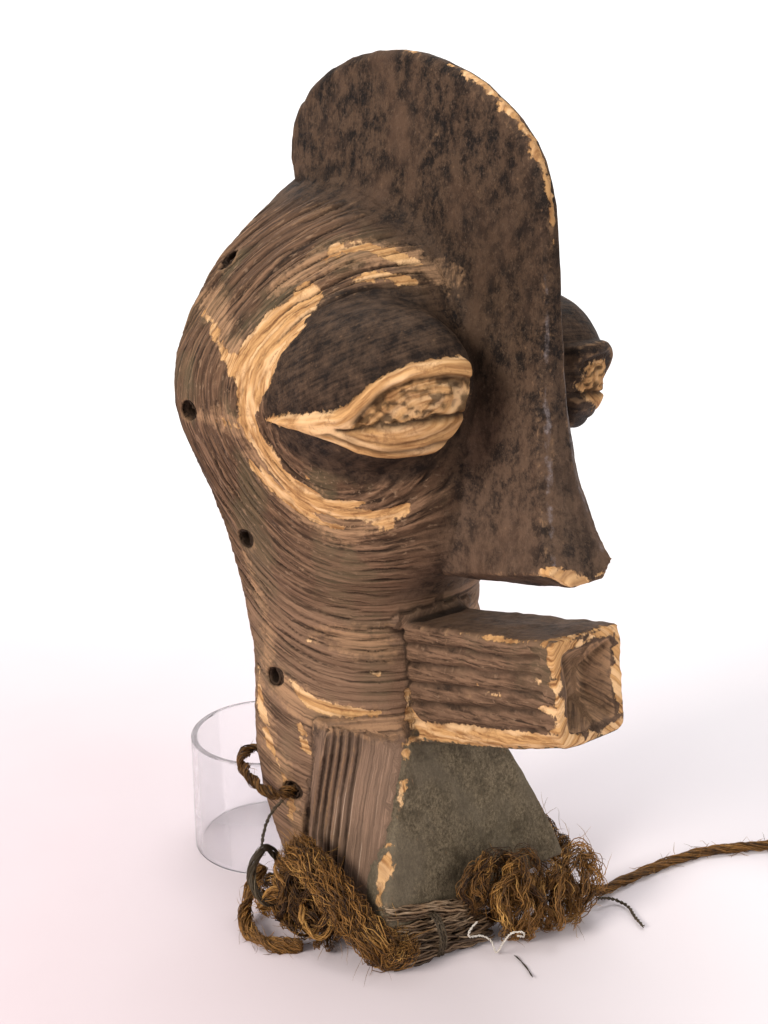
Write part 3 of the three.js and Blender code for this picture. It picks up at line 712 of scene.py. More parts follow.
def darkened(spots, side, part, dark):
    """Adds the shade in the mouth's end, along its foot and on the crest to the dark share."""
    x, forward, height = spots.T
    corner = np.maximum(smoothstep(8, 15, x), smoothstep(9, 18, np.abs(height - MOUTH_MIDDLE)))
    corner = np.maximum(corner, 0.8 * smoothstep(4, -6, side * x))
    dark = np.maximum(dark, 0.6 * corner * part["well"] * smoothstep(0.8, 5, MOUTH["tip"] - forward))
    dark = np.maximum(dark, 0.08 * (part["mouth"] & (height < 92)))
    return np.maximum(dark, 0.3 * part["crest"] * np.exp(-((height - 272) / 30) ** 2))


def along_and_across(spots, part, eye, lid, rings):
    """Lengths across and along the strokes that each part was carved with."""
    x, forward, height = spots.T
    along_eye, up_eye, _ = on_eye(spots)
    kinds = {
        "inside": (part["inside"] > 0.5, x, height),
        "lid": (lid > -0.5, lid, along_eye),
        "eye": (eye < 3, up_eye - 0.3 * along_eye, along_eye),
        "mouth": (part["mouth"], height + x, forward),
        "crest": (part["crest"], forward, height),
        "neck_front": (part["grey"] > 0.5, x, height),
        "neck_side": (part["neck"], 55 * neck_face(spots)[0], height),
    }
    where, across, along = zip(*kinds.values())
    return np.select(where, along, 50 * turn_round_eye(forward, height)), np.select(where, across, rings)


def tool_marks(rows, height, inside, pattern):
    """How far knife marks, carved lines and the rough hollow move the surface out."""
    depth, shows, rings = pattern
    move = 0.35 * noise(rows, 13, 1) + 0.14 * noise(rows, 5, 2) + 0.05 * noise(rows, 2, 3)
    steps = np.sin(2 * np.pi * rings / 12.5 + 1.6 * noise(rows, 25, 5))
    brow = 1 + 0.9 * smoothstep(245, 270, height)
    move -= shows * (0.8 * depth + 0.45 * steps) * brow
    return move + inside * (0.9 * np.abs(noise(rows, (7, 7, 26), 4)) - 0.3)


def finish_shares(rows, spots, part, share):
    """How much of the lined finish each spot has, and how much painted light lightens the wood there."""
    x, _, height = spots.T
    lined = np.where(height > BOX_TOP, smoothstep(12, 34, x + 3 * noise(rows, 9, 62)), 1)
    lined *= share * (1 - part["dome"])
    lined = np.where(part["mouth"], 0.2 + 0.7 * smoothstep(17, 18.5, x), lined)
    # Painted light: lighter low down, where light from below falls, and in the mouth and most in its pit.
    low, high = np.where(part["crest"], 165, 112), np.where(part["crest"], 250, 180)
    pale = np.where(part["crest"], 0.3, 0.8) * (1 - smoothstep(low, high, height))
    pale[part["mouth"]] = 0.45
    pale[part["pit"]] = 0.9
    return lined, pale


def thinned(mesh, most):
    """The mesh with at most about so many triangles."""
    triangles = len(mesh.loops) - 2 * len(mesh.polygons)
    return applied(mesh, ("DECIMATE", {"ratio": most / triangles})) if triangles > most else mesh


def carve_mask():
    """The mask's solid with its hand-carved surface: smooth forms, lids, lines, chips and tool marks."""
    mesh = fine_mask()
    rows = points_of(mesh)
    spots, side = mirrored(rows)
    x, forward, height = spots.T
    share = skin_share(spots, turned_out(mesh, side))
    _, _, head, eye = face_form(spots)
    part = mask_parts(rows, spots, head, eye)
    outer = part["inside"] < 0.5
    depth, shows, rings = line_pattern(spots, rows)
    shows *= share
    bare, worn, lid = (np.full(len(rows), -FAR) for _ in range(3))
    bare[outer] = bare_field(spots[outer], side[outer], rows[outer])
    worn[outer] = worn_field(spots[outer], side[outer], rows[outer])
    worn[part["pit"]] = 2.5
    # Painted shade inside the lacing holes; the same share also sinks them.
    dark = hole_share(spots)

    move = tool_marks(rows, height, part["inside"], (depth, shows, rings))
    move -= 1.6 * dark * share
    reach = lid_reach(spots, head, eye)
    eyes = np.flatnonzero(reach > 0.01)
    lift, edge, stain_and_shade = lid_height(spots[eyes], rows[eyes])
    move[eyes] += lift * reach[eyes]
    worn_less = np.where(side[eyes] > 0, 8.5, 0)
    lid[eyes] = np.where(reach[eyes] > 0.4, edge + 0.3 - worn_less, -FAR)
    # The lids' dark share: painted shade in their slit, grooves and well, and the lower lid's darker tone.
    dark[eyes] = np.maximum(dark[eyes], stain_and_shade * smoothstep(0, 1, edge) * (reach[eyes] > 0.4))
    dark = darkened(spots, side, part, dark)
    chipped = smoothstep(-0.3, 0.7, bare) * outer * np.where((x < 12) & (height > 150), 0.25, 1)
    move -= chipped * (0.35 + 0.3 * noise(rows, 2.2, 6) + 0.3 * noise(rows, 5, 7))

    lined, pale = finish_shares(rows, spots, part, share)
    along, across = along_and_across(spots, part, eye, lid, rings)

    box = (head > 1) & (forward > 5) & (height < BOX_TOP)
    rows = np.where(box[:, None], eased(rows, mesh, either(8)), rows)
    rows, cut = recut(rows, part["mouth"], part["neck"] & ~(part["grey"] > 0.5))
    move_points(mesh, rows)
    normals = normals_of(mesh)
    hollow = ((rows - eased(rows, mesh, either(24))) * normals).sum(1)
    boxed = np.clip(part["mouth"] + part["neck"] * (1 - part["grey"]), 0, 1)
    hollow = smoothstep(0.1, 0.6, -hollow) * boxed * smoothstep(3, 5, cut)
    rows = rows + normals * (move - 0.8 * hollow * (1 + noise(rows, 6, 8)))[:, None]
    bent = smoothstep(20, 60, forward) * (height < BOX_TOP) * outer
    for axis, seed in enumerate((51, 52, 53)):
        rows[:, axis] += bent * (0.7 * noise(rows, 14, seed) + 0.3 * noise(rows, 5, seed + 3))
    keep_above(rows, 0)
    move_points(mesh, rows)
    ridge = ((rows - eased(rows, mesh, either(7))) * normals).sum(1)
    ridge = np.where(box, eased(ridge[:, None], mesh, 4)[:, 0], ridge)
    # Painted sheen along the nose's edge.
    sheen = stroke_field(spots, EDGE_LINE) / 2 + 0.6 * noise(rows, (3, 3, 9), 63)
    store(
        mesh,
        bare=np.clip(np.maximum(bare, lid) / 4, -1, 1),
        worn=np.clip(worn / 8, -1, 1),
        # The groove share darkens the carved lines and the mouth's and neck's grooves: painted shade.
        groove=np.clip(np.maximum(depth * shows, hollow), 0, 1),
        cut=np.minimum(cut, 4),
        lined=np.clip(eased(lined[:, None], mesh, 6)[:, 0], 0, 1),
        pale=pale,
        sheen=np.clip(sheen, -1, 1),
        neck=np.clip(part["neck"] * (1 - part["grey"]), 0, 1),
        dome=np.clip(part["dome"], 0, 1),
        # dark: painted shade in the holes and recesses, with the lower lid's darker tone.
        dark=np.clip(dark, 0, 1),
        grey=np.clip(part["grey"], 0, 1),
        inside=part["inside"],
        # edge: convex ridges get the rubbed wear, concave creases get painted shade.
        edge=np.clip(ridge / 0.5, -1, 1),
        across=across + 200 * (side > 0),
        along=along,
    )
    mesh = thinned(mesh, MOST_TRIANGLES)
    mesh.shade_smooth()
    return mesh


def lid_reach(spots, head, eye):
    """1 where the lids can lie: outside the head or eye, on the side away from the crest."""
    _, _, out = on_eye(spots)
    reach = smoothstep(-2.5, -1, np.minimum(head, eye)) * smoothstep(-2, 4, out)
    return reach * smoothstep(19, 23, spots[:, 0])


def carried_frame(lines):
    """Directions along lines, and two directions square to each that turn as little as they can."""
    along = np.gradient(lines, axis=1)
    along /= np.maximum(np.linalg.norm(along, axis=2, keepdims=True), 1e-9)
    start = np.cross(along[:, 0], (0.31, 0.55, 0.77))
    normal = np.empty_like(lines)
    for i in range(lines.shape[1]):
        start = start - along[:, i] * (start * along[:, i]).sum(1, keepdims=True)
        start /= np.maximum(np.linalg.norm(start, axis=1, keepdims=True), 1e-9)
        normal[:, i] = start
    return along, normal, np.cross(along, normal)


def fibre_mesh(name, bundles, sides=3):
    """One mesh of many thin fibres. A bundle is its lines, their radii and how light each fibre is."""
    points, faces, shades = [], [], []
    start = 0
    for lines, radii, light in bundles:
        lines = np.asarray(lines, float)
        count, steps = lines.shape[:2]
        _, normal, across = carried_frame(lines)
        angle = 2 * np.pi * np.arange(sides) / sides
        ends = np.minimum(np.arange(steps), np.arange(steps)[::-1])
        thick = np.asarray(radii, float).reshape(-1, 1) * np.interp(ends, [0, 2], [0.3, 1])
        spoke = normal[:, :, None] * np.cos(angle)[:, None] + across[:, :, None] * np.sin(angle)[:, None]
        points.append((lines[:, :, None] + spoke * thick[:, :, None, None]).reshape(-1, 3))
        shades.append(np.repeat(np.broadcast_to(light, count), steps * sides))
        base = start + np.arange(count)[:, None, None] * steps * sides
        ring = np.arange(steps - 1)[None, :, None] * sides
        here = np.arange(sides)[None, None, :]
        a = base + ring + here
        b = base + ring + (here + 1) % sides
        quads = np.stack([a, b, b + sides, a, b + sides, a + sides], -1).reshape(-1, 3)
        first = base[:, 0, 0]
        last = first + (steps - 1) * sides
        fan = [np.stack([first, first + k + 1, first + k], 1) for k in range(1, sides - 1)]
        fan += [np.stack([last, last + k, last + k + 1], 1) for k in range(1, sides - 1)]
        faces += [quads, *fan]
        start += count * steps * sides
    mesh = mesh_of(name, np.concatenate(points), np.concatenate(faces))
    store(mesh, shade=np.concatenate(shades))
    return mesh


def wander(rng, count, run, size):
    """Smooth random values about 1 high along a run of lengths, one line for each of `count`."""
    total = 0
    for part in (1, 0.55, 0.3):
        phase = rng.uniform(0, 2 * np.pi, (count, 1))
        rate = rng.uniform(0.8, 1.25, (count, 1)) / (size * part)
        total = total + part * np.sin(2 * np.pi * run * rate + phase)
    return total / 1.3


def run_of(line):
    return np.concatenate([[0], np.cumsum(np.linalg.norm(np.diff(line, axis=0), axis=1))])


def twisted(line, radius, rng, fibres, plies=1, pitch=16.0, loose=0.12, crimp=0.0, flare=0.0):
    """Fibres twisted about a line: `plies` yarns, each turning about its own middle too."""
    _, normal, across = (part[0] for part in carried_frame(line[None]))
    run = run_of(line)
    ply = rng.integers(plies, size=(fibres, 1))
    ply_out = radius * 0.48 if plies > 1 else 0
    own_out = (radius - ply_out) * np.sqrt(rng.uniform(0.02, 1, (fibres, 1)))
    turn = 2 * np.pi * run / pitch
    ply_angle = turn + 2 * np.pi * ply / plies
    own_angle = 1.7 * turn * (plies > 1) + turn * (plies == 1) + rng.uniform(0, 2 * np.pi, (fibres, 1))
    spread = 1 + flare * np.abs(run / run[-1] * 2 - 1) ** 3
    u = ply_out * np.cos(ply_angle) + own_out * spread * np.cos(own_angle)
    v = ply_out * np.sin(ply_angle) + own_out * spread * np.sin(own_angle)
    u += loose * radius * wander(rng, fibres, run, 22) + crimp * wander(rng, fibres, run, 10)
    v += loose * radius * wander(rng, fibres, run, 22) + crimp * wander(rng, fibres, run, 10)
    return line + u[:, :, None] * normal + v[:, :, None] * across


def hairs(line, radius, rng, count, length, curl=0.25):
    """Short stray fibres that leave a strand."""
    along, normal, across = (part[0] for part in carried_frame(line[None]))
    steps = 7
    made = np.empty((count, steps, 3))
    for k in range(count):
        i = rng.integers(len(line))
        angle = rng.uniform(0, 2 * np.pi)
        out = normal[i] * math.cos(angle) + across[i] * math.sin(angle)
        way = out * rng.uniform(0.4, 1) + along[i] * rng.choice([-1, 1]) * rng.uniform(0.4, 1.2)
        way /= np.linalg.norm(way)
        spot = line[i] + out * radius * 0.7
        step = length * rng.uniform(0.4, 1) / steps
        for j in range(steps):
            made[k, j] = spot
            way = way + rng.normal(0, curl, 3)
            way /= np.linalg.norm(way)
            spot = spot + way * step
    keep_above(made, 0.3)
    return made


cad_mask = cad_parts["mask"]
wood_tree = BVHTree.FromPolygons(
    [tuple(cad_mask.matrix_world @ vertex.co / MM) for vertex in cad_mask.data.vertices],
    [tuple(face.vertices) for face in cad_mask.data.polygons],
)


def clear_of_wood(line, room):
    """Moves a line's points out of the wood and up off the floor."""
    moved = line.copy()
    for i, spot in enumerate(line):
        near, normal, _, gap = wood_tree.find_nearest(spot)
        if near is not None and gap < 30:
            height = (Vector(spot) - near).dot(normal)
            if height < room:
                moved[i] = np.array(near + normal * room)
    keep_above(moved, room)
    return moved


def route(name, count, closed=False):
    return smooth_line(np.array(ROUTES[name]) + SHIFT, count, closed)


def detail(full):
    return full


def keep_above(lines, low):
    """Lifts what lies under a height to it."""
    lines[..., 2] = np.maximum(lines[..., 2], low)


def tuft(name, seed, locks, fibres, sweep, lock_radius, curl, upright=0.0):
    """A tangle of locks of raffia that loop round inside the tuft's lobes."""
    rng = np.random.default_rng(seed)
    lobes = TUFTS[name]
    bundles = []
    for k in range(locks):
        middle, size = (np.array(part, float) for part in lobes[k % len(lobes)])
        middle = middle + SHIFT
        basis = rng.normal(size=(3, 3))
        basis[0, 2] += 4 * upright * rng.choice([-1, 1])
        basis[1, 2] *= 1 - upright
        basis = np.linalg.qr(basis.T)[0].T
        spread = rng.uniform(*curl)
        start = rng.uniform(0, 2 * np.pi)
        turns = np.linspace(start, start + rng.uniform(*sweep), 26)
        out = spread * (1 + 0.16 * wander(rng, 1, np.arange(26.0), 16)[0])
        ring = (np.cos(turns)[:, None] * basis[0] + np.sin(turns)[:, None] * basis[1]) * out[:, None]
        ring += basis[2] * (0.2 * wander(rng, 1, np.arange(26.0), 20)[0])[:, None]
        way = rng.normal(size=3)
        ring += (1 - spread) * way / np.linalg.norm(way) * rng.uniform(0.5, 1)
        ring /= np.maximum(np.linalg.norm(ring, axis=1, keepdims=True), 1)
        radius = lock_radius * rng.uniform(0.6, 1.25)
        line = middle + ring * (size - radius)
        line = smooth_line(smooth_line(clear_of_wood(line, radius + 0.3), 12), 34)
        pitch, crimp = rng.uniform(25, 60), rng.uniform(0.2, 0.6)
        lines = twisted(line, radius, rng, detail(fibres), pitch=pitch, loose=0.45, crimp=crimp)
        keep_above(lines, 0.25)
        light = rng.uniform(0.1, 0.85) + rng.normal(0, 0.16, len(lines))
        bundles.append((lines, rng.uniform(0.15, 0.28, len(lines)), light))
    stray = np.concatenate([hairs(bundle[0][0], 1, rng, 4, 17, 0.18) for bundle in bundles])
    bundles.append((stray, np.full(len(stray), 0.11), rng.uniform(0.3, 1, len(stray))))
    return fibre_mesh(name, bundles)


def bundle_of(lines, rng, thick=(0.18, 0.32), light=(0.2, 0.8)):
    return lines, rng.uniform(*thick, len(lines)), rng.uniform(*light, len(lines))


def node(tree, kind, inputs=None, **settings):
    """Adds a shader node; an input is a value or the socket that feeds it."""
    made = tree.nodes.new("ShaderNode" + kind)
    for key, value in settings.items():
        setattr(made, key, value)
    for key, value in (inputs or {}).items():
        if isinstance(value, bpy.types.NodeSocket):
            tree.links.new(value, made.inputs[key])
        else:
            made.inputs[key].default_value = value
    return made


def sums(tree, operation, *values, clamp=False):
    return node(tree, "Math", dict(enumerate(values)), operation=operation, use_clamp=clamp).outputs[0]


def times(tree, *values, clamp=False):
    return sums(tree, "MULTIPLY", *values, clamp=clamp)


def plus(tree, *values):
    return sums(tree, "ADD", *values)


def span(tree, value, low, high, to_low=0.0, to_high=1.0):
    inputs = {"Value": value, "From Min": low, "From Max": high, "To Min": to_low, "To Max": to_high}
    return node(tree, "MapRange", inputs, clamp=True).outputs["Result"]


def blended(tree, share, first, last):
    """Colours mixed by a share."""
    made = node(tree, "Mix", {0: share, 6: paint(first), 7: paint(last)}, data_type="RGBA")
    return made.outputs[2]


def layered(tree, colors, *shares):
    """Colours laid over the first one after another, each by its share."""
    color, *layers = colors
    for share, layer in zip(shares, layers):
        color = blended(tree, share, color, layer)
    return color


def paint(color):
    return color if isinstance(color, bpy.types.NodeSocket) else (*color, 1)


def field(tree, name):
    return node(tree, "Attribute", attribute_name=name, attribute_type="GEOMETRY").outputs["Fac"]


def group(name, inputs, outputs, build):
    """A shader node group; inputs and outputs are names with socket kinds and, for inputs, first values."""
    tree = bpy.data.node_groups.new(name, "ShaderNodeTree")
    for label, (kind, value) in inputs.items():
        socket = tree.interface.new_socket(label, in_out="INPUT", socket_type="NodeSocket" + kind)
        if value is not None:
            socket.default_value = value
    for label, kind in outputs.items():
        tree.interface.new_socket(label, in_out="OUTPUT", socket_type="NodeSocket" + kind)
    entry = tree.nodes.new("NodeGroupInput")
    end = tree.nodes.new("NodeGroupOutput")
    for label, socket in build(tree, entry.outputs).items():
        tree.links.new(socket, end.inputs[label])
    return tree


def use(tree, made, **inputs):
    """Places a node group in a material."""
    named = {key.replace("_", " "): value for key, value in inputs.items()}
    return node(tree, "Group", named, node_tree=made).outputs


def grained(tree, size, stretch, rough):
    """A wood or fibre figure from 0 to 1."""
    return use(tree, wood_figure, Size=size, Stretch=stretch, Rough=rough)["Value"]


def build_figure(tree, given):
    """Wood or fibre figure: a noise of a size in millimetres, drawn out along the height."""
    place = node(tree, "TexCoord").outputs["Object"]
    flatten = sums(tree, "DIVIDE", 1.0, given["Stretch"])
    stretch = node(tree, "CombineXYZ", {"X": 1.0, "Y": 1.0, "Z": flatten})
    drawn = node(tree, "VectorMath", {0: place, 1: stretch.outputs[0]}, operation="MULTIPLY").outputs[0]
    scale = sums(tree, "DIVIDE", 1 / MM, given["Size"])
    inputs = {"Vector": drawn, "Scale": scale, "Detail": 4.0, "Roughness": given["Rough"]}
    value = node(tree, "TexNoise", inputs).outputs["Fac"]
    return {"Value": span(tree, value, 0.28, 0.72)}


def build_torn(tree, given):
    """A mask from a field, with a torn edge."""
    figure = grained(tree, given["Size"], given["Stretch"], 0.62)
    shift = times(tree, sums(tree, "SUBTRACT", figure, 0.5), given["Reach"])
    value = plus(tree, given["Field"], shift)
    soft = given["Soft"]
    low = times(tree, soft, -1.0)
    return {"Mask": span(tree, value, low, soft)}


def build_dust(tree, given):
    """Pale dust that settles on what faces up and in small patches."""
    up = node(tree, "SeparateXYZ", {0: node(tree, "NewGeometry").outputs["Normal"]}).outputs["Z"]
    lying = span(tree, up, -0.2, 1.0, 0.15, 1.0)
    patches = grained(tree, 9.0, 1.5, 0.7)
    grains = grained(tree, 0.9, 1.0, 0.8)
    share = times(tree, lying, times(tree, patches, grains))
    share = times(tree, share, given["Amount"], clamp=True)
    return {"Color": blended(tree, share, given["Color"], given["Dust"])}


wood_figure = group(
    "figure",
    {"Size": ("Float", 2.0), "Stretch": ("Float", 1.0), "Rough": ("Float", 0.6)},
    {"Value": "Float"},
    build_figure,
)
torn_edge = group(
    "torn_edge",
    {
        "Field": ("Float", 0.0), "Size": ("Float", 2.0), "Stretch": ("Float", 1.0), "Reach": ("Float", 0.6),
        "Soft": ("Float", 0.08),
    },
    {"Mask": "Float"},
    build_torn,
)
dusting = group(
    "dusting",
    {"Color": ("Color", None), "Dust": ("Color", (0.5, 0.47, 0.45, 1)), "Amount": ("Float", 0.5)},
    {"Color": "Color"},
    build_dust,
)


def new_material(name, roughness=0.6, **plain):
    material = bpy.data.materials.new(name)
    material.use_nodes = True
    shader = material.node_tree.nodes["Principled BSDF"]
    shader.inputs["Roughness"].default_value = roughness
    for key, value in plain.items():
        shader.inputs[key.replace("_", " ")].default_value = value
    return material, material.node_tree, shader


def finish_surface(tree, shader, color, roughness, height, distance):
    """Feeds a material's colour, roughness and bump."""
    tree.links.new(color, shader.inputs["Base Color"])
    if isinstance(roughness, bpy.types.NodeSocket):
        tree.links.new(roughness, shader.inputs["Roughness"])
    bump = node(tree, "Bump", {"Strength": 1.0, "Distance": distance * MM, "Height": height})
    tree.links.new(bump.outputs["Normal"], shader.inputs["Normal"])


def drawn_figure(tree, across, along, detail=4.0):
    """Streaks along the wood's own lines, whose sizes across and along are in millimetres."""
    u = sums(tree, "DIVIDE", field(tree, "across"), across)
    v = sums(tree, "DIVIDE", field(tree, "along"), along)
    place = node(tree, "CombineXYZ", {"X": u, "Y": v}).outputs[0]
    inputs = {"Vector": place, "Scale": 1.0, "Detail": detail, "Roughness": 0.6}
    return span(tree, node(tree, "TexNoise", inputs).outputs["Fac"], 0.3, 0.7)


# The carved wood's colours: for each part its ground and what lies over it, in order.
WOOD = {
    # This list's last colour is a painted sheen; its fifth is painted light low down.
    "patina_and_sheen": [
        (0.008, 0.005, 0.004), (0.070, 0.041, 0.025), (0.100, 0.056, 0.034), (0.150, 0.098, 0.066),
        (0.175, 0.108, 0.073), (0.210, 0.175, 0.175),
    ],
    # The cheek's last colour is painted light low down.
    "cheek": [
        (0.026, 0.014, 0.008), (0.225, 0.125, 0.072), (0.080, 0.042, 0.024), (0.098, 0.074, 0.040),
        (0.300, 0.190, 0.120), (0.255, 0.150, 0.094),
    ],
    # The neck side's last colour is a painted highlight.
    "neck_side": [
        (0.105, 0.065, 0.044), (0.285, 0.175, 0.118), (0.110, 0.070, 0.048), (0.520, 0.390, 0.290),
    ],
    "dome": [(0.012, 0.007, 0.005), (0.080, 0.047, 0.029)],
    "olive": [(0.018, 0.013, 0.007), (0.235, 0.182, 0.117), (0.050, 0.038, 0.024), (0.130, 0.104, 0.072)],
    "cavity": [(0.070, 0.041, 0.024), (0.160, 0.096, 0.058)],
    "fresh": [
        (0.230, 0.098, 0.035), (0.590, 0.330, 0.138), (0.790, 0.510, 0.275), (0.110, 0.052, 0.026),
        (0.220, 0.105, 0.045),
    ],
    # Painted shade for the carved lines and grooves.
    "groove": (0.012, 0.007, 0.004),
    "rubbed": (0.250, 0.145, 0.078),
    "half_worn": (0.380, 0.220, 0.120),
    # Painted shade for concave creases.
    "hollow": (0.018, 0.010, 0.006),
    # Painted shade for holes and recesses; also the lower lid's darker tone.
    "dark": (0.022, 0.012, 0.007),
}


def carved_wood():
    material, tree, shader = new_material("carved_wood", Specular_IOR_Level=0.09)
    broad = grained(tree, 26.0, 1.6, 0.55)
    blotch = grained(tree, 7.0, 1.2, 0.78)
    speck = grained(tree, 1.3, 1.2, 0.8)
    grain = grained(tree, 1.0, 8.0, 0.6)
    fleck = drawn_figure(tree, 1.8, 3.6)
    hatch = drawn_figure(tree, 1.7, 16.0)
    stroke = drawn_figure(tree, 4.0, 30.0, 2.0)
    vein = drawn_figure(tree, 1.1, 60.0, 6.0)
    names = ("groove", "lined", "edge", "cut", "pale", "neck", "dome", "inside", "dark")
    groove, lined, edge, cut, pale, neck, dome, inside, dark = (field(tree, name) for name in names)
    cut = plus(tree, cut, span(tree, stroke, 0.0, 1.0, -1.2, 1.2))
    groove = sums(tree, "MAXIMUM", groove, span(tree, cut, 0.2, 1.8, 0.6, 0.0))

    # A painted sheen down the nose's edge, laid last over the dark finish.
    sheen = field(tree, "sheen")
    sheen = use(tree, torn_edge, Field=sheen, Size=2.0, Stretch=2.0, Reach=0.7, Soft=0.25)["Mask"]
    patina_and_sheen = layered(
        tree, WOOD["patina_and_sheen"],
        span(tree, blotch, 0.3, 0.7),
        span(tree, broad, 0.45, 0.8, 0, 0.6),
        span(tree, speck, 0.6, 0.95, 0, 0.55),
        # Painted light: lighter low down and in the mouth's pit.
        times(tree, pale, span(tree, blotch, 0.1, 0.8, 0.2, 1.0)),
        times(tree, sheen, span(tree, speck, 0.2, 0.9, 0.1, 0.8)),
    )
    cheek = layered(
        tree, WOOD["cheek"],
        span(tree, hatch, 0.25, 0.8),
        span(tree, stroke, 0.35, 0.75, 0, 0.7),
        span(tree, broad, 0.5, 0.75, 0, 0.6),
        span(tree, fleck, 0.7, 0.95, 0, 0.6),
        # Painted light: lighter low down and in the mouth's pit.
        times(tree, pale, span(tree, hatch, 0.1, 0.8, 0.1, 1.0)),
    )
    neck_side = layered(
        tree, WOOD["neck_side"],
        span(tree, vein, 0.1, 0.8),
        span(tree, stroke, 0.4, 0.9, 0, 0.6),
        # Painted highlight: pale streaks along the flutes stand in for the light on their ridges.
        span(tree, vein, 0.78, 0.95, 0, 0.8),
    )
    chisel = plus(tree, times(tree, hatch, 0.4), times(tree, blotch, 0.6))
    dome_color = layered(tree, WOOD["dome"], span(tree, chisel, 0.3, 0.8))
    olive = layered(
        tree, WOOD["olive"],
        speck,
        span(tree, blotch, 0.4, 0.8, 0, 0.7),
        span(tree, broad, 0.5, 0.8, 0, 0.6),
    )
    grey_field = span(tree, field(tree, "grey"), 0.0, 1.0, -1.0, 1.0)
    grey = use(tree, torn_edge, Field=grey_field, Size=3.0, Reach=0.5)["Mask"]
    rubbed = plus(tree, edge, span(tree, fleck, 0.0, 1.0, -0.75, 0.25))
    rubbed = plus(tree, rubbed, span(tree, blotch, 0.0, 1.0, -0.45, 0.25))
    worn = use(tree, torn_edge, Field=field(tree, "worn"), Size=3.0, Reach=1.0, Soft=0.3)["Mask"]
    scar = times(tree, span(tree, hatch, 0.02, 0.22, 0.75, 0.0), span(tree, stroke, 0.0, 0.6, 1.0, 0.3))
    fresh = layered(
        tree, WOOD["fresh"],
        span(tree, hatch, 0.05, 0.7),
        span(tree, stroke, 0.45, 0.8, 0, 0.8),
        scar,
        span(tree, blotch, 0.6, 0.95, 0, 0.7),
    )
    bare = field(tree, "bare")
    bare = use(tree, torn_edge, Field=bare, Size=2.2, Stretch=1.3, Reach=0.6, Soft=0.09)["Mask"]
    # Painted shade keeps the grooves dark across the bare patches.
    groove_shade = times(tree, groove, span(tree, blotch, 0.2, 0.7, 0.3, 0.95))
    bare = times(tree, bare, sums(tree, "SUBTRACT", 1.0, groove_shade))
    # Painted shade in concave creases, less of it over bare wood.
    hollow = times(tree, span(tree, edge, -0.9, -0.1, 0.75, 0.0), span(tree, bare, 0.0, 1.0, 1.0, 0.6))

    layers = [
        (lined, cheek),
        (neck, neck_side),
        # Painted shade in the carved lines and grooves.
        (times(tree, groove, 0.85), WOOD["groove"]),
        (dome, dome_color),
        (grey, olive),
        (inside, layered(tree, WOOD["cavity"], grain)),
        (span(tree, rubbed, 0.1, 0.6, 0, 0.65), WOOD["rubbed"]),
        (times(tree, worn, span(tree, hatch, 0.15, 0.8, 0.1, 0.95)), WOOD["half_worn"]),
        (bare, fresh),
        # Painted shade in concave creases.
        (hollow, WOOD["hollow"]),
        # Painted shade from the dark share: holes, lids' recesses, the mouth's end and foot, the crest.
        (times(tree, dark, 0.92), WOOD["dark"]),
    ]
    shares, colors = zip(*layers)
    color = use(tree, dusting, Color=layered(tree, (patina_and_sheen, *colors), *shares), Amount=0.04)["Color"]

    roughness = span(tree, plus(tree, speck, bare), 0.0, 1.6, 0.55, 0.85)
    fine = times(tree, hatch, plus(tree, times(tree, lined, 0.9), 0.35))
    height = plus(tree, times(tree, speck, 0.45), fine)
    height = plus(tree, height, times(tree, blotch, 0.6))
    height = sums(tree, "SUBTRACT", height, times(tree, bare, 0.9))
    finish_surface(tree, shader, color, roughness, height, 0.32)
    return material


# The fibres' dark, light and highlight colours.
FIBRES = {
    "raffia": [(0.026, 0.010, 0.003), (0.360, 0.165, 0.038), (0.760, 0.440, 0.130)],
    "bark_fibre": [(0.040, 0.022, 0.012), (0.230, 0.140, 0.078), (0.420, 0.310, 0.210)],
    "dark_fibre": [(0.030, 0.020, 0.012), (0.100, 0.070, 0.040), (0.170, 0.130, 0.080)],
    "white_thread": [(0.560, 0.500, 0.440), (0.800, 0.750, 0.690), (0.860, 0.830, 0.780)],
}


def fibre_material(name, dark, light, highlight, roughness=0.55, gloss=0.25):
    """Plant fibre whose strands differ, each streaked along its length."""
    material, tree, shader = new_material(name, roughness, Specular_IOR_Level=gloss)
    shade = field(tree, "shade")
    streak = grained(tree, 2.2, 1.0, 0.7)
    broad = grained(tree, 11.0, 1.0, 0.5)
    share = plus(tree, times(tree, shade, 0.75), times(tree, streak, 0.3))
    shares = span(tree, share, 0.2, 0.9), span(tree, times(tree, share, broad), 0.35, 0.85, 0, 0.8)
    color = layered(tree, (dark, light, highlight), *shares)
    color = use(tree, dusting, Color=color, Amount=0.05)["Color"]
    rough = span(tree, streak, 0.0, 1.0, roughness - 0.1, roughness + 0.15)
    finish_surface(tree, shader, color, rough, streak, 0.12)
    return material


def clear_plastic():
    plain = {"Transmission_Weight": 1.0, "IOR": 1.4, "Alpha": 0.86}
    material, tree, shader = new_material("clear_plastic", 0.04, **plain)
    wipe = grained(tree, 14.0, 1.0, 0.5)
    color = blended(tree, wipe, (0.955, 0.965, 0.985), (0.985, 0.988, 0.995))
    rough = span(tree, wipe, 0.0, 1.0, 0.02, 0.07)
    finish_surface(tree, shader, color, rough, wipe, 0.02)
    return material


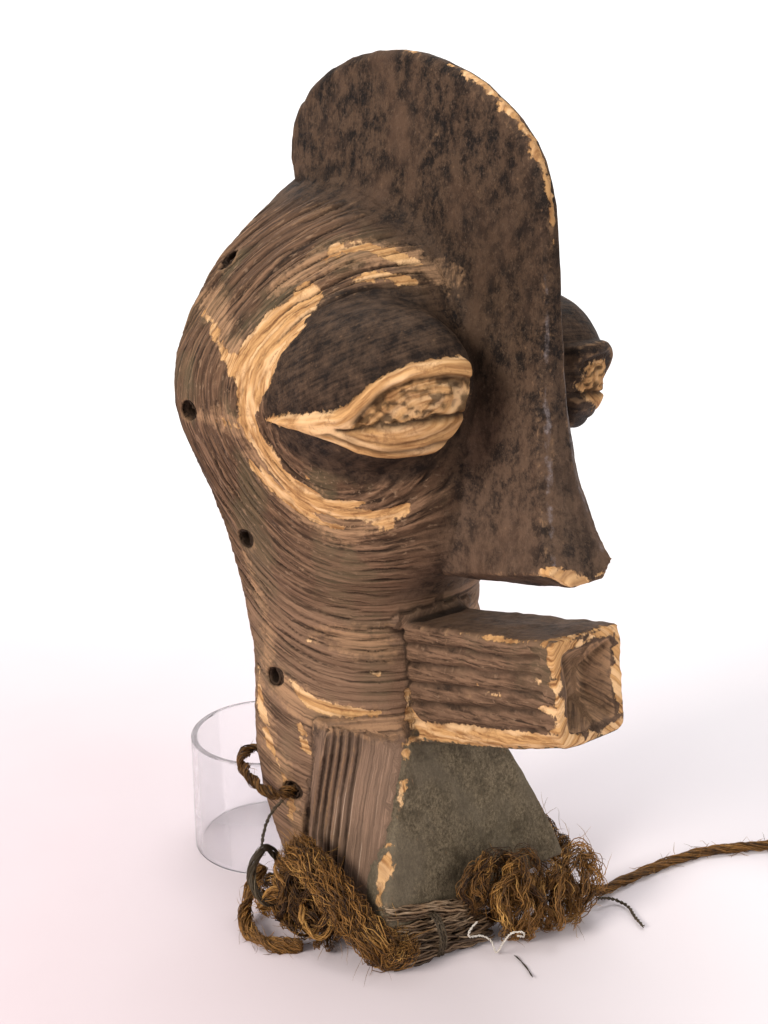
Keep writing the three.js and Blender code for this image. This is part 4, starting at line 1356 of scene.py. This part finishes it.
def make_ring(material):
    """The clear tube with its sawn edges slightly rounded."""
    outer, wall, height, soft = RING["outer"], RING["wall"], RING["height"], 0.5
    inner = outer - wall
    corners = [(inner, soft), (inner + soft, 0), (outer - soft, 0), (outer, soft)]
    profile = corners + [(r, height - z) for r, z in reversed(corners)]
    mesh = bmesh.new()
    sides = 160
    rings = []
    for r, z in profile:
        rings.append([
            mesh.verts.new((
                (RING["x"] + SHIFT[0] + r * math.cos(2 * math.pi * k / sides)) * MM,
                (RING["y"] + SHIFT[1] + r * math.sin(2 * math.pi * k / sides)) * MM,
                z * MM,
            ))
            for k in range(sides)
        ])
    for ring, after in zip(rings, rings[1:] + rings[:1]):
        for k in range(sides):
            mesh.faces.new((ring[k], ring[(k + 1) % sides], after[(k + 1) % sides], after[k]))
    bmesh.ops.recalc_face_normals(mesh, faces=mesh.faces)
    made = bpy.data.meshes.new("support_ring")
    mesh.to_mesh(made)
    mesh.free()
    made.shade_smooth()
    made.set_sharp_from_angle(angle=math.radians(25))
    return piece("clear_ring", made, material, "clear_plastic", "support_ring")


def cord_line():
    """The free cord's line: along the floor out of view, then round and round in a small coil."""
    middle = np.array([COIL["x"], COIL["y"]]) + SHIFT[:2]
    first = np.array(ROUTES["raffia_cord"]) + SHIFT
    start = math.atan2(COIL_START[0] - COIL["x"], COIL_START[1] - COIL["y"])
    turns = np.linspace(0, COIL["turns"] * 2 * math.pi, 27)
    radius = np.linspace(COIL["first"], COIL["last"], 27)
    coil = np.stack([
        middle[0] + radius * np.sin(start + turns),
        middle[1] + radius * np.cos(start + turns),
        np.full(27, COIL["height"]),
    ], 1)
    return np.concatenate([first, coil])


def make_cord(material):
    line = cord_line()
    fine = smooth_line(line, 250)
    rng = np.random.default_rng(7)
    lines = twisted(fine, 2.3, rng, detail(70), plies=1, pitch=46, loose=0.13, crimp=0.08)
    keep_above(lines, 0.2)
    short = hairs(fine, 2.2, rng, detail(160), 3.2)
    twist = bundle_of(lines, rng, (0.2, 0.34), (0.15, 0.7))
    mesh = fibre_mesh("cord", [twist, bundle_of(short, rng, (0.08, 0.14), (0.4, 1))])
    cord = piece("cord", mesh, material, "raffia", "raffia_cord", "raffia_coil")
    stray = hairs(fine[20:120], 2.2, rng, detail(70), 13)
    stray_mesh = fibre_mesh("cord_hairs", [bundle_of(stray, rng, (0.08, 0.15), (0.3, 0.9))])
    loose = piece("cord_hairs", stray_mesh, material, "raffia")
    t = np.linspace(0, 2 * math.pi, 90)
    knot = np.stack([np.sin(t) + 2 * np.sin(2 * t), np.cos(t) - 2 * np.cos(2 * t), -np.sin(3 * t)], 1)
    knot = 1.15 * knot + (fine[-1] + (0, 0, 2.2))
    tied = twisted(knot, 1.5, rng, detail(40), plies=2, pitch=9, loose=0.08)
    keep_above(tied, 0.3)
    end = piece("cord_knot", fibre_mesh("cord_knot", [bundle_of(tied, rng)]), material, "raffia")


def with_hairs(lines, rng, line, radius, count, length, curl, fine=(0.07, 0.12), **strand):
    """A strand's bundle, and one of the short hairs that leave its middle line."""
    bundles = [bundle_of(lines, rng, **strand)]
    short = hairs(line, radius, rng, detail(count), length, curl)
    return bundles + [bundle_of(short, rng, fine)]


def strand_piece(materials, slot, name, bundles, *nodes):
    """A visible piece of fibre, named after the solid it stands for and what it is made of."""
    stuff = {"raffia": "raffia", "bark_fibre": "bark", "dark_fibre": "fibre", "white_thread": "cotton"}
    piece(f"{name}_{stuff[slot]}", fibre_mesh(name, bundles), materials[slot], slot, *nodes)


def make_tufts(material):
    bunches = {
        "left_tuft": (11, 46, 15, (3.0, 6.0), 1.7, (0.35, 0.85)),
        "right_tuft": (12, 52, 14, (2.4, 4.6), 2.1, (0.6, 1.0), 0.8),
        "far_tuft": (13, 20, 12, (2, 5), 2.2, (0.5, 1.0)),
    }
    for name, form in bunches.items():
        piece(name + "_raffia", tuft(name, *form), material, "raffia", name)


def make_strands(materials, rng):
    """The rope, loops, lacing, twines and thread."""
    line = smooth_line(smooth_line(clear_of_wood(route("front_rope", 30), 5), 9), 36)
    rope = twisted(line, 7.2, rng, detail(480), pitch=170, loose=0.3, crimp=0.5, flare=0.3)
    keep_above(rope, 0.3)
    kind = {"thick": (0.14, 0.28), "light": (0.05, 0.9)}
    bundles = with_hairs(rope, rng, line, 6, 120, 20, 0.16, (0.08, 0.14), **kind)
    strand_piece(materials, "raffia", "front_rope", bundles, "front_rope")

    line = route("floor_loop", 60)
    loop = twisted(line, 3.3, rng, detail(100), plies=2, pitch=40, loose=0.25, crimp=0.3)
    keep_above(loop, 0.3)
    bundles = with_hairs(loop, rng, line, 2.8, 60, 13, 0.16, (0.08, 0.14))
    strand_piece(materials, "raffia", "floor_loop", bundles, "floor_loop")

    for side, name in ((-1, "lacing_loop_left"), (1, "lacing_loop_right")):
        line = smooth_line(to_row([(side * x, f, h) for x, f, h in LACING]), 90, closed=True)
        lace = twisted(line, 2.7, rng, detail(64), plies=2, pitch=19, loose=0.2, crimp=0.12)
        bundles = with_hairs(lace, rng, line, 2, 30, 7, 0.2, light=(0.05, 0.6))
        strand_piece(materials, "raffia", name, bundles, name)

    line = route("ring_loop", 80, closed=True)
    loop = twisted(line, 2.0, rng, detail(44), plies=1, pitch=30, loose=0.12)
    bundles = with_hairs(loop, rng, line, 1.6, 16, 6, 0.2, thick=(0.2, 0.32))
    strand_piece(materials, "dark_fibre", "ring_loop", bundles, "ring_loop")
    for name in ("hanging_twine", "trailing_twine"):
        twine = twisted(route(name, 50), 0.85, rng, detail(16), plies=2, pitch=4.5, loose=0.05)
        strand_piece(materials, "dark_fibre", name, [bundle_of(twine, rng, (0.16, 0.24))], name)
    thread = twisted(route("white_thread", 110), 0.5, rng, 12, plies=2, pitch=3.4, loose=0.05)
    bundles = [bundle_of(thread, rng, (0.13, 0.19))]
    strand_piece(materials, "white_thread", "white_thread", bundles, "white_thread")


def make_hank(materials, rng):
    """The bark-like hank along the foot, its dark wrap and a hair on the floor."""
    line = route("front_hank", 40)
    beyond = np.array([(-10, 2.5, 0), (12, -1.5, 0)])
    fading = np.linspace(1, 0, 6)
    layers = [((0, -1, -2), 0, 4.6, 50), ((0, 2, 4), 2, 4.2, 44), ((0, 4, 8), 9, 3.4, 44)]
    strips = []
    for offset, rise, radius, count in layers:
        core = np.concatenate([line[:1] + beyond[0], line[[0, 13, 26, 39]], line[-1:] + beyond[1]]) + offset
        core[:, 2] += rise * fading
        core[:, 1] += 0.15 * rise * fading
        core = smooth_line(core, 40)
        strip = twisted(core, radius, rng, detail(count), pitch=600, loose=0.16, crimp=0.1, flare=0.3)
        strips.append(strip)
    hank = np.concatenate(strips)
    keep_above(hank, 0.5)
    bundles = [bundle_of(hank, rng, (0.3, 0.9), (0.0, 1.0))]
    strand_piece(materials, "bark_fibre", "front_hank", bundles, "front_hank")

    turns = np.linspace(0, 2 * math.pi * 3.2, 80)
    way = line[20] - line[14]
    middle = line[17] + np.outer(np.linspace(-2.2, 2.2, 80), way) / np.linalg.norm(way)
    wrap = middle + (0, 0, 3) + np.stack([0.6 * np.cos(turns), 7 * np.cos(turns), 10 * np.sin(turns)], 1)
    keep_above(wrap, 0.9)
    tie = twisted(wrap, 0.8, rng, detail(14), plies=2, pitch=5, loose=0.05)
    hair = twisted(route("floor_hair", 20), 0.2, rng, 2)
    bundles = [bundle_of(tie, rng, (0.18, 0.26)), bundle_of(hair, rng, (0.2, 0.25))]
    strand_piece(materials, "dark_fibre", "hank_wrap", bundles)


# The floor's colours: near the mask, patches of it, to the right, and the wall.
PAPER = [(0.655, 0.548, 0.580), (0.675, 0.578, 0.610), (0.765, 0.715, 0.745), (0.760, 0.756, 0.760)]


def make_stage():
    """A pale floor that curves up into a wall."""
    profile = [(-2.5, 0.0)]
    profile += [(1.6 + 1.2 * math.sin(a), 1.2 - 1.2 * math.cos(a)) for a in np.linspace(0, math.pi / 2, 24)]
    profile.append((2.8, 4.0))
    turn = Matrix.Rotation(VIEW_TURN, 3, "Z")
    points = [turn @ Vector((x, y, z)) for y, z in profile for x in (-4, 4)]
    faces = [(2 * i, 2 * i + 1, 2 * i + 3, 2 * i + 2) for i in range(len(profile) - 1)]
    mesh = bpy.data.meshes.new("floor")
    mesh.from_pydata(points, [], faces)
    mesh.shade_smooth()
    material, tree, shader = new_material("floor_paper", 0.85)
    cloud = grained(tree, 130.0, 1.0, 0.5)
    place = node(tree, "SeparateXYZ", {0: node(tree, "TexCoord").outputs["Object"]}).outputs
    x, y = place["X"], place["Y"]
    sine, cosine = 0.613, 0.790
    back = plus(tree, times(tree, x, sine), times(tree, y, cosine))
    right = sums(tree, "SUBTRACT", times(tree, x, cosine), times(tree, y, sine))
    color = layered(tree, PAPER, cloud, span(tree, right, -0.15, 0.2), span(tree, back, 0.0, 1.0))
    paper = grained(tree, 1.0, 1.0, 0.6)
    finish_surface(tree, shader, color, 0.85, paper, 0.02)
    mesh.materials.append(material)
    floor = bpy.data.objects.new("floor", mesh)
    bpy.context.collection.objects.link(floor)


def area_light(name, place, aim, size, power, color=(1, 1, 1)):
    """A soft light; places are seen from the camera: to the right, away from it and up, in metres."""
    turn = Matrix.Rotation(VIEW_TURN, 3, "Z")
    place, aim = turn @ Vector(place), turn @ Vector(aim)
    light = bpy.data.lights.new(name, "AREA")
    light.size = size
    light.energy = power
    light.color = color
    made = bpy.data.objects.new(name, light)
    made.location = place
    made.rotation_euler = (aim - place).to_track_quat("-Z", "Y").to_euler()
    bpy.context.collection.objects.link(made)


def make_light():
    world = bpy.data.worlds.new("studio")
    world.use_nodes = True
    world.node_tree.nodes["Background"].inputs["Color"].default_value = (1, 1, 1, 1)
    world.node_tree.nodes["Background"].inputs["Strength"].default_value = 0.48
    bpy.context.scene.world = world
    bpy.context.scene.view_settings.view_transform = "Standard"
    mask = (0, 0, 0.18)
    area_light("key", (-1.35, -1.15, 1.05), mask, 0.7, 38, (1, 0.955, 0.89))
    area_light("fill", (1.3, -0.8, 0.6), mask, 1.0, 10, (1, 0.96, 0.91))
    area_light("wall", (0, 0.9, 2.4), (0, 2.6, 0.9), 2.0, 70)


camera()
materials = {name: fibre_material(name, *colors) for name, colors in FIBRES.items()}
make_cord(materials["raffia"])
make_tufts(materials["raffia"])
strands_rng = np.random.default_rng(21)
make_strands(materials, strands_rng)
make_hank(materials, strands_rng)
make_ring(clear_plastic())
piece("mask_carved", carve_mask(), carved_wood(), "carved_wood", "mask")
make_stage()
make_light()
